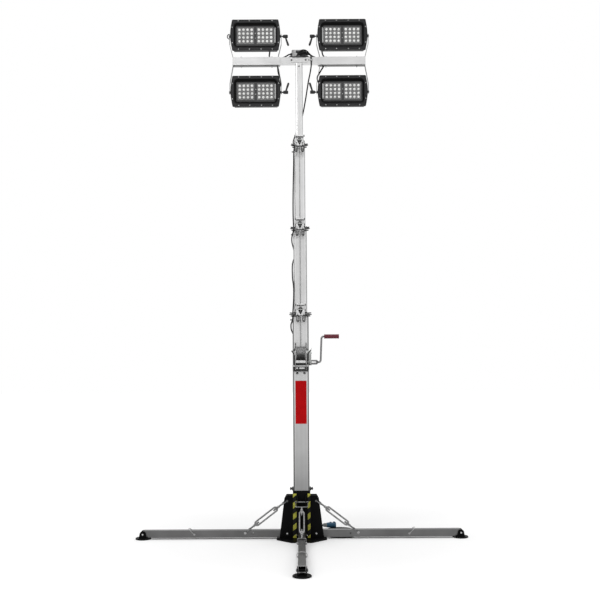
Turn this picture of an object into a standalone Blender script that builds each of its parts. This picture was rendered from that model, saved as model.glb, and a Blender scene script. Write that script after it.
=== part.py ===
# Mobile light tower: a four-legged stand with a winch-driven telescopic mast and four lamps.
# Metres, Z up. The origin is on the floor under the mast, and the winch and lamps face -Y.

import math

import bmesh
import bpy
from mathutils import Matrix, Vector

# Fits
SEAT = 0.0003            # gap between two pieces that rest on each other
RUN = 0.0004             # gap on each side of a piece that slides or turns

# Mast, as it stands partly raised
MAST_1_LENGTH = 1.664
MAST_2_LENGTH = 1.650
MAST_3_LENGTH = 1.650
MAST_4_LENGTH = 1.550
MAST_2_SHOWN = 0.636     # length that shows above the section below
MAST_3_SHOWN = 0.619
MAST_4_SHOWN = 0.623

# Its sections from the ground up, each sliding in the one before it.
# Columns: name, outer width, wall, length, length that shows
MAST = (
    ("mast_1", 0.120, 0.0040, MAST_1_LENGTH, MAST_1_LENGTH),
    ("mast_2", 0.100, 0.0035, MAST_2_LENGTH, MAST_2_SHOWN),
    ("mast_3", 0.082, 0.0035, MAST_3_LENGTH, MAST_3_SHOWN),
    ("mast_4", 0.052, 0.0030, MAST_4_LENGTH, MAST_4_SHOWN),
)
MAST_CORNER = 0.009      # outer corner radius of every section
LINER = 0.045            # height of the guide liner in the top of a section
SHOE = 0.060             # height of the guide shoe at the foot of a section

# Base
PLATE_REACH = 0.186      # middle of an edge of the octagonal plate from the mast's axis
PLATE_EDGE = 0.150       # length of the four edges that face the legs
PLATE_T = 0.008
SOCKET_WALL = 0.0047
SOCKET_TOP = 0.364
EAR_TOP = 0.384          # the socket's side walls stand higher than the others
EAR_W = 0.074
FIN_T = 0.005
FIN_TOP = 0.327
FIN_TOP_REACH = 0.114
FIN_BEND = 0.296         # height where the fin's outer edge bends inward
FIN_BEND_REACH = 0.130
FIN_FOOT_REACH = 0.166
FIN_LIP = 0.007          # width of the folded lip along the fin's top
FIN_PLAY = 0.0015        # gap between a leg and each fin
SOCKET_BOLT_R = 0.0075
SOCKET_BOLT_Z = 0.372
SOCKET_BOLT_REACH = 0.084

# Legs, seen along the direction in which each one points
LEG_W = 0.050
LEG_H = 0.054
LEG_WALL = 0.003
LEG_UNDER = 0.012        # space under the leg
LEG_PIVOT_R = 0.108
LEG_PIVOT_Z = 0.041
LEG_PIN_R = 0.008
LEG_PIN_HEAD = 0.0115
LEG_PIN_HEAD_T = 0.007
LEG_STOW_R = 0.364       # the empty hole in the leg
LEG_STOW_HOLE = 0.0065
FOOT_PIVOT_R = 1.187
FOOT_PIVOT_Z = 0.040
FOOT_DISC_R = 0.059
FOOT_DISC_T = 0.011
FOOT_EAR_T = 0.005
FOOT_EAR_R = 0.024
FOOT_EAR_BASE = 0.032
FOOT_PIN_R = 0.006
FOOT_PIN_HEAD = 0.010
LEG_TIP_R = 0.021        # round end of the leg about the foot's pin
LEG_UNDERCUT = 0.070     # where the slanted cut under the tip starts, from the foot's pin

# Turnbuckle braces between each pair of fins and its leg
BRACE_TOP_Z = 0.286
BRACE_END_R = 0.422      # the lower end from the mast's axis
BRACE_END_Z = 0.046
BRACE_PIN_R = 0.006
BRACE_PIN_REACH = 0.050
BRACE_UPPER_BOW = 0.049  # length of the bow that swings round the fins' top
BRACE_LOWER_BOW = 0.046
BRACE_BEND = 0.008       # radius of a bow's corners
BRACE_WIRE = 0.0042
BRACE_ROD = 0.0058
BRACE_BODY_START = 0.088
BRACE_BODY_LENGTH = 0.222
BRACE_BODY_W = 0.042
BRACE_BODY_T = 0.011
BRACE_BAR = 0.0085
BRACE_EYE_R = 0.0095
BRACE_EYE_T = 0.006

# Pulley collar on the top of each lower section
COLLAR_W = 0.062
COLLAR_T = 0.003
COLLAR_RISE = 0.083      # top of the collar above the section's top
COLLAR_DROP = 0.045      # its foot below the section's top
COLLAR_DEPTH = 0.047
SHEAVE_R = 0.024
SHEAVE_W = 0.016
SHEAVE_GROOVE = 0.0035
SHEAVE_RISE = 0.030      # sheave axis above the section's top
COLLAR_BOLT_RISE = 0.071
COLLAR_BOLT_R = 0.0045
COLLAR_BOLT_REACH = 0.0365
COLLAR_FRONT_T = 0.0027
SLOT_W = 0.024
NOTCH_W = 0.034          # mouth of the V notch in the front plate
GUIDE_R = 0.0225         # wire centre line of a cable guide
GUIDE_WIRE = 0.0045
GUIDE_PITCH = 0.013
GUIDE_REACH = 0.024      # how far a guide stands out past the section's side

# Winch, set out from the drum's axis
WINCH_AXIS_Y = -0.125
WINCH_LOW = 0.2963       # drum's axis below the top of the lowest section
WINCH_DROP = 0.125       # foot of the frame below the drum's axis
WINCH_RISE = 0.082       # top of the frame above it
WINCH_CHEEK_X = 0.0375   # inner face of a cheek
WINCH_CHEEK_T = 0.004
WINCH_BACK_T = 0.004
WINCH_BASE_W = 0.122
WINCH_BASE_H = 0.046     # height of the back plate's wide part
WINCH_CORNER = 0.012     # slanted corners of the back plate
WINCH_SIDE_FLANGE = 0.006
CHEEK_NOSE = 0.037       # how far a cheek stands out past the crank's axis
CHEEK_NOSE_H = 0.032
PAWL_Y = -0.131          # middle of the pawl, along its pin
PAWL_W = 0.038
TIE_RISE = 0.0035        # middle of the front tie bar above the crank's axis
TIE_H = 0.015
TIE_T = 0.004
GEAR_BIG_R = 0.027       # round ends of the gear case
GEAR_SMALL_R = 0.023
DRUM_ROPE_R = 0.049
DRUM_ROPE_W = 0.064
DRUM_FLANGE_R = 0.054
DRUM_FLANGE_T = 0.0035
DRUM_SHAFT_R = 0.009
GEAR_CASE_W = 0.035
CRANK_FORWARD = 0.020    # crank axis in front of the drum's axis
CRANK_DROP = 0.061       # and below it
CRANK_SHAFT_R = 0.008
CRANK_HUB_R = 0.017
CRANK_HUB_W = 0.041
CRANK_ARM = 0.188
CRANK_ROD = 0.0068
CRANK_ARM_X = 0.152
CRANK_BEND = 0.016
CRANK_LEAN = 0.006
GRIP_X = 0.172
GRIP_L = 0.108
GRIP_R = 0.014

# Head
CROSSBAR_HALF = 0.497
CROSSBAR_END_START = 0.142
CROSSBAR_END_H = 0.057
CROSSBAR_H = 0.046
CROSSBAR_D = 0.043
CROSSBAR_END_D = 0.050
CROSSBAR_WALL = 0.003
BOX_W = 0.108
BOX_H = 0.050
BOX_D = 0.070

# Lamps
LAMP_X = 0.325
LAMP_LIFT = 0.164        # upper lamps' pivot above the crossbar's top
LAMP_DROP = 0.198        # lower lamps' pivot below the end channels' underside
LAMP_W = 0.375
LAMP_BOW = 0.0135        # how far the middle of each side stands out past its corners
LAMP_H = 0.230
LAMP_CORNER = 0.008
LAMP_FRONT = 0.030       # from the pivot forward to the bezel
LAMP_BEZEL_T = 0.010
LAMP_INSET = 0.010       # the housing's outline inside the bezel's
LAMP_SHELL_T = 0.046
LAMP_FIN_COUNT = 9
LAMP_FIN_T = 0.004
LAMP_FIN_MARGIN = 0.020  # from the outermost fins to the housing's corners
LAMP_FIN_D = 0.022
LAMP_FIN_H = 0.160
WINDOW_SIDE = 0.0265     # bezel beside the window, at mid height
WINDOW_RIM = 0.0235      # bezel above and below the window
WINDOW_CORNER = 0.026
WINDOW_DEPTH = 0.020
PANEL_T = 0.004
YOKE_STRIP = 0.025
YOKE_T = 0.0035
YOKE_GAP = 0.004
YOKE_FOOT = 0.170        # half length of the strip that is bolted to the crossbar
YOKE_KNEE = 0.062        # from the pivot to the bend of an arm
LAMP_PIN_R = 0.005
LAMP_PIN_HEAD = 0.010
LEVER_HUB_START = 0.011  # from the yoke to the clamp lever's hub
LEVER_HUB_W = 0.034
LEVER_R = 0.0048
LEVER_L = 0.066
LEVER_LEAN = 0.022

# Hoist ropes and the electric cable
ROPE_R = 0.0025
CABLE_R = 0.005
CABLE_OUTLET_X = 0.092   # where it leaves the crossbar
COIL_X = 0.301           # middle of the oval coil
COIL_Y = 0.185
COIL_HALF_X = 0.109
COIL_HALF_Y = 0.215
COIL_BAND = 0.060        # width of the band of turns that lie side by side
TAIL_Y = 0.250           # where the cable from the mast joins the coil
LEAD_Y = 0.190           # where the innermost turn rises on to the others
PLUG_R = 0.020
PLUG_X = 0.166           # the cable end of the plug
PLUG_Y = 0.370
PLUG_L = 0.106
PLUG_SOCKET = 0.030      # depth of the plug's open front
PLUG_RIM = 0.003
GLAND_L = 0.034
GLAND_R = 0.015

# Held lengths of the cable, from their upper to their lower end.
# Columns: x and y in half widths of the section that it passes, share of the way down
CABLE_4_ROUTE = (
    (3.23, 0.00, 0.096), (2.73, 0.15, 0.191), (1.81, 0.77, 0.414), (0.92, 1.35, 0.588),
    (-0.38, 1.39, 0.747), (-1.38, 1.23, 0.850), (-1.77, 0.38, 0.914), (-1.69, -1.73, 0.960),
)
CABLE_3_ROUTE = (
    (-1.02, -1.56, 0.066), (-1.07, -1.46, 0.227), (-1.15, -1.46, 0.410), (-1.22, -1.51, 0.652),
    (-1.22, -1.76, 0.841),
)
CABLE_2_ROUTE = (
    (-1.16, -1.24, 0.072), (-1.24, 0.00, 0.107), (-1.18, 0.92, 0.141), (-0.92, 1.18, 0.217),
    (-0.88, 1.18, 0.294), (-1.14, 1.06, 0.364), (-1.20, 0.60, 0.435), (-1.18, -0.40, 0.498),
    (-1.14, -1.12, 0.577), (-1.00, -1.32, 0.671), (-1.00, -1.48, 0.805),
)

# Down behind the lowest section. Columns: x and y in its half widths, height as a share of the guide's
TAIL_DROP = (
    (-0.98, -1.41, 0.9819), (-1.06, -1.12, 0.9721), (-1.17, -0.58, 0.9632), (-1.20, 0.08, 0.9520),
    (-1.17, 0.75, 0.9408), (-1.05, 1.07, 0.9293), (-0.83, 1.18, 0.9125), (-0.50, 1.20, 0.8760),
    (0.00, 1.20, 0.7920), (0.33, 1.20, 0.6900), (0.73, 1.23, 0.4800), (0.82, 1.30, 0.2520),
    (0.92, 1.43, 0.1320),
)

# Over the base plate and the floor to the coil. Columns: x, y, height of the cable's underside
TAIL_FLOOR = (
    (0.072, 0.104, 0.089), (0.096, 0.127, 0.035), (0.122, 0.146, 0.013), (0.142, 0.166, 0.001),
    (0.160, 0.188, 0.000), (0.178, 0.218, 0.000),
)

# From the coil round to the plug. Columns: x, y, height of the cable's underside
LEAD_FLOOR = (
    (0.138, 0.264, 0.002), (0.106, 0.270, 0.000), (0.078, 0.296, 0.000), (0.073, 0.332, 0.000),
    (0.090, 0.361, 0.001), (0.122, 0.370, 0.010),
)

FINISHES = {
    "aluminium": ((0.74, 0.75, 0.75), 0.38, 1.0),
    "black_steel": ((0.012, 0.012, 0.014), 0.42, 0.0),
    "zinc": ((0.62, 0.62, 0.62), 0.30, 1.0),
    "black_plastic": ((0.015, 0.015, 0.016), 0.50, 0.0),
    "red_grip": ((0.20, 0.030, 0.040), 0.45, 0.0),
    "rope": ((0.20, 0.20, 0.20), 0.50, 1.0),
    "cable": ((0.012, 0.012, 0.012), 0.55, 0.0),
    "blue_plug": ((0.030, 0.130, 0.300), 0.40, 0.0),
    "led_panel": ((0.55, 0.56, 0.58), 0.35, 0.0),
    "gear_case": ((0.66, 0.67, 0.66), 0.35, 1.0),
}


def clear_scene():
    for item in list(bpy.data.objects):
        bpy.data.objects.remove(item, do_unlink=True)


def finish(name):
    material = bpy.data.materials.get(name)
    if material is None:
        colour, roughness, metallic = FINISHES[name]
        material = bpy.data.materials.new(name)
        material.use_nodes = True
        shader = material.node_tree.nodes["Principled BSDF"]
        shader.inputs["Base Color"].default_value = (*colour, 1.0)
        shader.inputs["Roughness"].default_value = roughness
        shader.inputs["Metallic"].default_value = metallic
    return material


def add_object(name, data):
    item = bpy.data.objects.new(name, data)
    bpy.context.scene.collection.objects.link(item)
    return item


def from_bmesh(name, bm):
    bmesh.ops.remove_doubles(bm, verts=bm.verts, dist=1e-6)
    bmesh.ops.recalc_face_normals(bm, faces=bm.faces)
    mesh = bpy.data.meshes.new(name)
    bm.to_mesh(mesh)
    bm.free()
    return add_object(name, mesh)


def finished(item, name, material, at=(0.0, 0.0, 0.0), round_piece=True):
    # Names the piece, gives it its material and puts its origin at the point about which it turns.
    item.name = name
    item.data.name = name
    item.data.materials.clear()
    item.data.materials.append(finish(material))
    origin = Vector(at)
    item.data.transform(Matrix.Translation(-origin) @ item.matrix_world)
    item.matrix_world = Matrix.Translation(origin)
    if round_piece:
        item.data.shade_smooth()
        item.data.set_sharp_from_angle(angle=math.radians(40))
    return item


# Points (u, v) and a depth t along an axis become x, y, z.
def spot(axis, u, v, t):
    return {"X": (t, u, v), "Y": (u, t, v), "Z": (u, v, t)}[axis]


def prism(outline, axis, start, end):
    bm = bmesh.new()
    low = [bm.verts.new(spot(axis, u, v, start)) for u, v in outline]
    high = [bm.verts.new(spot(axis, u, v, end)) for u, v in outline]
    bm.faces.new(low)
    bm.faces.new(high)
    for i in range(len(outline)):
        j = (i + 1) % len(outline)
        bm.faces.new((low[i], low[j], high[j], high[i]))
    return from_bmesh("prism", bm)


def box(low, high):
    outline = ((low[0], low[1]), (high[0], low[1]), (high[0], high[1]), (low[0], high[1]))
    return prism(outline, "Z", low[2], high[2])


# Loops of equally many points, each at its own depth, are joined in turn and back to the first.
def wall(loops, axis="Z"):
    bm = bmesh.new()
    rings = [[bm.verts.new(spot(axis, u, v, t)) for u, v in outline] for outline, t in loops]
    for a, b in zip(rings, rings[1:] + rings[:1]):
        for i in range(len(a)):
            j = (i + 1) % len(a)
            bm.faces.new((a[i], a[j], b[j], b[i]))
    return from_bmesh("wall", bm)


# A profile of (radius, distance along the axis) is turned about the axis through a centre.
def turned(profile, axis, centre, steps, closed=False):
    bm = bmesh.new()
    points = [bm.verts.new((r, 0.0, t)) for r, t in profile]
    edges = [bm.edges.new(pair) for pair in zip(points, points[1:])]
    if closed:
        edges.append(bm.edges.new((points[-1], points[0])))
    bmesh.ops.spin(bm, geom=points + edges, axis=(0, 0, 1), cent=(0, 0, 0),
                   angle=math.tau, steps=steps, use_merge=True)
    turn = {"X": Matrix.Rotation(math.radians(90), 4, "Y"),
            "Y": Matrix.Rotation(math.radians(-90), 4, "X"),
            "Z": Matrix.Identity(4)}[axis]
    bmesh.ops.transform(bm, matrix=Matrix.Translation(centre) @ turn, verts=bm.verts)
    return from_bmesh("turned", bm)


def cylinder(axis, centre, radius, low, high, steps=16):
    return turned(((0, low), (radius, low), (radius, high), (0, high)), axis, centre, steps)


def tube(points, radius, resolution=2, closed=False):
    curve = bpy.data.curves.new("tube", "CURVE")
    curve.dimensions = "3D"
    curve.bevel_depth = radius
    curve.bevel_resolution = resolution
    curve.use_fill_caps = True
    spline = curve.splines.new("POLY")
    spline.points.add(len(points) - 1)
    for point, place in zip(spline.points, points):
        point.co = (*place, 1.0)
    spline.use_cyclic_u = closed
    return add_object("tube", curve)


def meshed(item):
    graph = bpy.context.evaluated_depsgraph_get()
    bm = bmesh.new()
    bm.from_mesh(bpy.data.meshes.new_from_object(item.evaluated_get(graph)))
    bpy.data.objects.remove(item, do_unlink=True)
    return from_bmesh("swept", bm)


def joined(solids, cuts=()):
    # One solid: the union of the first list, less the second.
    body = solids[0]
    others = [(item, "UNION") for item in solids[1:]] + [(item, "DIFFERENCE") for item in cuts]
    for item, action in others:
        change = body.modifiers.new(action, "BOOLEAN")
        change.operation = action
        change.object = item
    bpy.context.view_layer.update()
    graph = bpy.context.evaluated_depsgraph_get()
    bm = bmesh.new()
    bm.from_mesh(bpy.data.meshes.new_from_object(body.evaluated_get(graph)))
    bm.transform(body.matrix_world)
    for item in [body] + [item for item, action in others]:
        bpy.data.objects.remove(item, do_unlink=True)
    bmesh.ops.remove_doubles(bm, verts=bm.verts, dist=2e-6)
    bmesh.ops.dissolve_degenerate(bm, edges=bm.edges, dist=1e-6)
    return from_bmesh("joined", bm)


def turned_about_z(item, angle):
    item.data.transform(Matrix.Rotation(angle, 4, "Z"))
    return item


def arc(centre, radius, start, end, steps):
    # Points on an arc, in degrees from the first axis.
    points = []
    for i in range(steps + 1):
        angle = math.radians(start + (end - start) * i / steps)
        points.append((centre[0] + radius * math.cos(angle), centre[1] + radius * math.sin(angle)))
    return points


def rounded_square(half, radius, steps=3):
    inner = half - radius
    points = []
    for su, sv, start in ((1, 1, 0), (-1, 1, 90), (-1, -1, 180), (1, -1, 270)):
        points += arc((su * inner, sv * inner), radius, start, start + 90, steps)
    return points


def rounded_box(half_u, half_v, radius, steps=3):
    points = []
    for su, sv, start in ((1, 1, 0), (-1, 1, 90), (-1, -1, 180), (1, -1, 270)):
        points += arc((su * (half_u - radius), sv * (half_v - radius)), radius, start, start + 90, steps)
    return points


def smooth_path(points, spacing):
    # Evenly spaced points on a smooth curve through the given ones.
    places = [Vector(p) for p in points]
    places = [places[0] * 2 - places[1]] + places + [places[-1] * 2 - places[-2]]
    fine = []
    for a, b, c, d in zip(places, places[1:], places[2:], places[3:]):
        knots = [0.0]
        for p, q in ((a, b), (b, c), (c, d)):
            knots.append(knots[-1] + math.sqrt((q - p).length))
        for i in range(24):
            t = knots[1] + (knots[2] - knots[1]) * i / 24
            ab = (a * (knots[1] - t) + b * (t - knots[0])) / (knots[1] - knots[0])
            bc = (b * (knots[2] - t) + c * (t - knots[1])) / (knots[2] - knots[1])
            cd = (c * (knots[3] - t) + d * (t - knots[2])) / (knots[3] - knots[2])
            abc = (ab * (knots[2] - t) + bc * (t - knots[0])) / (knots[2] - knots[0])
            bcd = (bc * (knots[3] - t) + cd * (t - knots[1])) / (knots[3] - knots[1])
            fine.append((abc * (knots[2] - t) + bcd * (t - knots[1])) / (knots[2] - knots[1]))
    fine.append(places[-2])
    length = sum((q - p).length for p, q in zip(fine, fine[1:]))
    count = max(3, round(length / spacing))
    path = [fine[0]]
    walked = 0.0
    for p, q in zip(fine, fine[1:]):
        step = (q - p).length
        while len(path) < count and walked + step >= length * len(path) / count:
            share = (length * len(path) / count - walked) / step
            path.append(p.lerp(q, share))
        walked += step
    path.append(fine[-1])
    return path


# Heights that follow from the table of sections
def mast_levels():
    levels = []
    top = PLATE_T + SEAT
    for name, width, thickness, length, shown in MAST:
        top += shown
        levels.append((name, width / 2, thickness, top - length, top))
    return levels


LEVELS = mast_levels()
SOCKET_HALF = LEVELS[0][1] + SEAT + SOCKET_WALL
FIN_IN = LEG_W / 2 + FIN_PLAY
FIN_OUT = FIN_IN + FIN_T
CROSSBAR_LOW = LEVELS[3][4] + SEAT
CROSSBAR_TOP = CROSSBAR_LOW + CROSSBAR_H
CROSSBAR_END_LOW = CROSSBAR_TOP - CROSSBAR_END_H
WINCH_AXIS_Z = LEVELS[0][4] - WINCH_LOW
CRANK_Y = WINCH_AXIS_Y - CRANK_FORWARD
CRANK_Z = WINCH_AXIS_Z - CRANK_DROP
WINCH_FOOT = WINCH_AXIS_Z - WINCH_DROP
WINCH_HEAD = WINCH_AXIS_Z + WINCH_RISE
LAMP_END_W = LAMP_W - 2 * LAMP_BOW
WINDOW_W = LAMP_W - 2 * WINDOW_SIDE
WINDOW_H = LAMP_H - 2 * WINDOW_RIM

# Columns: name, direction in degrees, whether the turnbuckle's open frame lies in the leg's plane
LEGS = (
    ("right", 0, True),
    ("back", 90, False),
    ("left", 180, True),
    ("front", 270, False),
)

# Columns: name, side, +1 above the crossbar or -1 below it
LAMPS = (
    ("upper_left", -1, 1),
    ("upper_right", 1, 1),
    ("lower_left", -1, -1),
    ("lower_right", 1, -1),
)


def make_mast():
    for index, (name, half, thickness, foot, top) in enumerate(LEVELS):
        outer = rounded_square(half, MAST_CORNER)
        inner = rounded_square(half - thickness, MAST_CORNER - thickness)
        loops = [(inner, foot)]
        if index > 0:
            room = LEVELS[index - 1][1] - LEVELS[index - 1][2]
            shoe = rounded_square(room - RUN, MAST_CORNER - LEVELS[index - 1][2] - RUN)
            loops += [(shoe, foot), (shoe, foot + SHOE), (outer, foot + SHOE)]
        else:
            loops.append((outer, foot))
        loops.append((outer, top))
        if index + 1 < len(LEVELS):
            liner = rounded_square(LEVELS[index + 1][1] + RUN, MAST_CORNER + RUN)
            loops += [(liner, top), (liner, top - LINER), (inner, top - LINER)]
        else:
            loops.append((inner, top))
        finished(wall(loops), name, "aluminium")


def make_base_plate():
    edge = PLATE_EDGE / 2
    outline = []
    for quarter in range(4):
        turn = Matrix.Rotation(math.radians(90 * quarter), 2)
        for point in ((PLATE_REACH, -edge), (PLATE_REACH, edge)):
            outline.append(tuple(turn @ Vector(point)))
    finished(prism(outline, "Z", 0.0, PLATE_T), "base_plate", "black_steel", round_piece=False)


def make_base_frame():
    floor = PLATE_T + SEAT
    inner = rounded_square(SOCKET_HALF - SOCKET_WALL, MAST_CORNER)
    outer = rounded_square(SOCKET_HALF, MAST_CORNER + SOCKET_WALL)
    solids = [wall(((inner, floor), (outer, floor), (outer, SOCKET_TOP), (inner, SOCKET_TOP)))]
    cuts = []
    sink = SOCKET_HALF - SOCKET_WALL / 2
    fin = ((sink, floor), (FIN_FOOT_REACH, floor), (FIN_BEND_REACH, FIN_BEND),
           (FIN_TOP_REACH, FIN_TOP), (sink, FIN_TOP))
    lip_end = FIN_TOP_REACH - FIN_LIP / 3
    lip = ((sink, FIN_TOP - FIN_T), (lip_end, FIN_TOP - FIN_T), (lip_end, FIN_TOP), (sink, FIN_TOP))
    for name, direction, flat in LEGS:
        turn = math.radians(direction)
        for side in (-1, 1):
            plate = prism(fin, "Y", side * FIN_IN, side * FIN_OUT)
            fold = prism(lip, "Y", side * (FIN_IN + FIN_T / 2), side * (FIN_OUT + FIN_LIP))
            solids += [turned_about_z(plate, turn), turned_about_z(fold, turn)]
        for radius, height in ((LEG_PIN_R + SEAT, LEG_PIVOT_Z), (BRACE_PIN_R + RUN, BRACE_TOP_Z)):
            hole = cylinder("Y", (LEG_PIVOT_R, 0, height), radius, -FIN_OUT - FIN_T, FIN_OUT + FIN_T)
            cuts.append(turned_about_z(hole, turn))
    wide = EAR_W / 2
    narrow = wide - (EAR_TOP - SOCKET_TOP) / 2
    ear = ((-wide, SOCKET_TOP - FIN_T), (wide, SOCKET_TOP - FIN_T), (wide, SOCKET_TOP + SEAT),
           (narrow, EAR_TOP), (-narrow, EAR_TOP), (-wide, SOCKET_TOP + SEAT))
    for side in (-1, 1):
        near = side * (SOCKET_HALF - SOCKET_WALL)
        far = side * SOCKET_HALF
        solids.append(prism(ear, "X", near, far))
        solids.append(cylinder("X", (0, 0, SOCKET_BOLT_Z), SOCKET_BOLT_R, side * sink,
                               side * SOCKET_BOLT_REACH, 6))
    finished(joined(solids, cuts), "base_frame", "black_steel", round_piece=False)


def make_leg_pins():
    out = FIN_OUT + SEAT
    head = out + LEG_PIN_HEAD_T
    profile = ((0, -head), (LEG_PIN_HEAD, -head), (LEG_PIN_HEAD, -out), (LEG_PIN_R, -out),
               (LEG_PIN_R, out), (LEG_PIN_HEAD, out), (LEG_PIN_HEAD, head), (0, head))
    for name, direction, flat in LEGS:
        pin = turned(profile, "Y", (LEG_PIVOT_R, 0, LEG_PIVOT_Z), 12)
        finished(turned_about_z(pin, math.radians(direction)), "leg_pin_" + name, "zinc")


def leg_outline():
    low = LEG_UNDER
    high = LEG_UNDER + LEG_H
    radius = LEG_PIVOT_Z - low
    pivot = (LEG_PIVOT_R, LEG_PIVOT_Z)
    foot = (FOOT_PIVOT_R, FOOT_PIVOT_Z)
    chamfer = radius / 4
    points = arc(pivot, radius, 180, 270, 4)
    points.append((FOOT_PIVOT_R - LEG_UNDERCUT, low))
    points += arc(foot, LEG_TIP_R, 215, 435, 7)
    points.append((FOOT_PIVOT_R - LEG_TIP_R / 3, high))
    points += [(LEG_PIVOT_R - radius + chamfer, high), (LEG_PIVOT_R - radius, high - chamfer)]
    return points


def make_legs():
    outline = leg_outline()
    inside = LEG_W / 2 - LEG_WALL
    low = LEG_UNDER + LEG_WALL
    high = LEG_UNDER + LEG_H - LEG_WALL
    for name, direction, flat in LEGS:
        bar = prism(outline, "Y", -LEG_W / 2, LEG_W / 2)
        hollow = box((0.0, -inside, low), (FOOT_PIVOT_R + 2 * LEG_TIP_R, inside, high))
        cuts = [hollow]
        for place, height, radius in ((LEG_PIVOT_R, LEG_PIVOT_Z, LEG_PIN_R + RUN),
                                      (LEG_STOW_R, LEG_PIVOT_Z, LEG_STOW_HOLE),
                                      (FOOT_PIVOT_R, FOOT_PIVOT_Z, FOOT_PIN_R + RUN)):
            cuts.append(cylinder("Y", (place, 0, height), radius, -LEG_W, LEG_W, 12))
        turn = math.radians(direction)
        at = Matrix.Rotation(turn, 3, "Z") @ Vector((LEG_PIVOT_R, 0, LEG_PIVOT_Z))
        finished(turned_about_z(joined([bar], cuts), turn), "leg_" + name, "aluminium", at)


def make_feet():
    near = LEG_W / 2 + SEAT
    far = near + FOOT_EAR_T
    head = far + FOOT_EAR_T
    ear = [(FOOT_PIVOT_R - FOOT_EAR_BASE, FOOT_DISC_T / 2), (FOOT_PIVOT_R + FOOT_EAR_BASE, FOOT_DISC_T / 2)]
    ear += arc((FOOT_PIVOT_R, FOOT_PIVOT_Z), FOOT_EAR_R, 0, 180, 8)
    bevel = FOOT_DISC_T / 3
    disc = ((0, 0), (FOOT_DISC_R - bevel, 0), (FOOT_DISC_R, bevel), (FOOT_DISC_R, FOOT_DISC_T - bevel),
            (FOOT_DISC_R - bevel, FOOT_DISC_T), (0, FOOT_DISC_T))
    pin = ((0, -head), (FOOT_PIN_HEAD, -head), (FOOT_PIN_HEAD, -far + SEAT), (FOOT_PIN_R, -far + SEAT),
           (FOOT_PIN_R, far - SEAT), (FOOT_PIN_HEAD, far - SEAT), (FOOT_PIN_HEAD, head), (0, head))
    for name, direction, flat in LEGS:
        solids = [turned(disc, "Z", (FOOT_PIVOT_R, 0, 0), 24)]
        for side in (-1, 1):
            solids.append(prism(ear, "Y", side * near, side * far))
        solids.append(turned(pin, "Y", (FOOT_PIVOT_R, 0, FOOT_PIVOT_Z), 12))
        turn = math.radians(direction)
        at = Matrix.Rotation(turn, 3, "Z") @ Vector((FOOT_PIVOT_R, 0, FOOT_PIVOT_Z))
        finished(turned_about_z(joined(solids), turn), "foot_" + name, "black_steel", at)


def bow(start, length, half, sign):
    # A wire bent to a U, its back towards +sign along the first axis.
    side = arc((length - BRACE_BEND, half - BRACE_BEND), BRACE_BEND, 90, 0, 4)
    route = [(0.0, half)] + side + [(u, -w) for u, w in reversed(side)] + [(0.0, -half)]
    return [(start + sign * u, 0.0, w) for u, w in route]


def brace_solid(frame_in_plane):
    # Along +X from the upper pin; Z is the pin's direction and Y the direction across, in the leg's plane.
    run = math.hypot(BRACE_END_R - LEG_PIVOT_R, BRACE_TOP_Z - BRACE_END_Z)
    body_end = BRACE_BODY_START + BRACE_BODY_LENGTH
    upper_half = FIN_OUT + FIN_LIP + RUN + BRACE_WIRE
    lower_half = LEG_W / 2 + RUN + BRACE_WIRE
    solids = [cylinder("Z", (0, 0, 0), BRACE_PIN_R, -BRACE_PIN_REACH, BRACE_PIN_REACH, 10)]
    solids.append(meshed(tube(bow(0.0, BRACE_UPPER_BOW, upper_half, 1), BRACE_WIRE, 1)))
    solids.append(meshed(tube(bow(run, BRACE_LOWER_BOW, lower_half, -1), BRACE_WIRE, 1)))
    solids.append(cylinder("X", (0, 0, 0), BRACE_ROD, BRACE_UPPER_BOW, BRACE_BODY_START + BRACE_BODY_W, 10))
    solids.append(cylinder("X", (0, 0, 0), BRACE_ROD, body_end - BRACE_BODY_W, run - BRACE_LOWER_BOW, 10))
    for side in (-1, 1):
        near = side * (LEG_W / 2 + SEAT)
        far = side * (LEG_W / 2 + SEAT + BRACE_EYE_T)
        solids.append(cylinder("Z", (run, 0, 0), BRACE_EYE_R, near, far, 12))
    middle = BRACE_BODY_START + BRACE_BODY_LENGTH / 2
    half_l = BRACE_BODY_LENGTH / 2
    half_w = BRACE_BODY_W / 2
    outline = []
    for su, sv in ((1, 1), (-1, 1), (-1, -1), (1, -1)):
        ends = [(half_l, half_w * 0.32), (half_l - half_w, half_w)]
        if su * sv < 0:
            ends.reverse()
        outline += [(middle + su * u, sv * v) for u, v in ends]
    inside_l = half_l - half_w * 1.05
    inside = []
    for u, v in rounded_box(inside_l, half_w - BRACE_BAR, half_w - BRACE_BAR - SEAT, 2):
        inside.append((middle + u, v))
    axis = "Z" if frame_in_plane else "Y"
    solids.append(prism(outline, axis, -BRACE_BODY_T / 2, BRACE_BODY_T / 2))
    window = prism(inside, axis, -BRACE_BODY_T, BRACE_BODY_T)
    shell = joined([solids.pop()], [window])
    return joined([shell] + solids)


def make_braces():
    drop = math.atan2(BRACE_TOP_Z - BRACE_END_Z, BRACE_END_R - LEG_PIVOT_R)
    for name, direction, flat in LEGS:
        item = brace_solid(flat)
        place = Matrix.Rotation(math.radians(direction), 4, "Z")
        place = place @ Matrix.Translation((LEG_PIVOT_R, 0, BRACE_TOP_Z))
        place = place @ Matrix.Rotation(drop, 4, "Y") @ Matrix.Rotation(math.radians(90), 4, "X")
        item.data.transform(place)
        at = Matrix.Rotation(math.radians(direction), 3, "Z") @ Vector((LEG_PIVOT_R, 0, BRACE_TOP_Z))
        finished(item, "brace_" + name, "zinc", at)


def sheave_place(index):
    # The rope drops from the back of the groove into the gap between two sections.
    half, thickness = LEVELS[index][1], LEVELS[index][2]
    gap_middle = (half - thickness + LEVELS[index + 1][1]) / 2
    return -gap_middle - (SHEAVE_R - SHEAVE_GROOVE + ROPE_R), LEVELS[index][4] + SHEAVE_RISE


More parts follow.
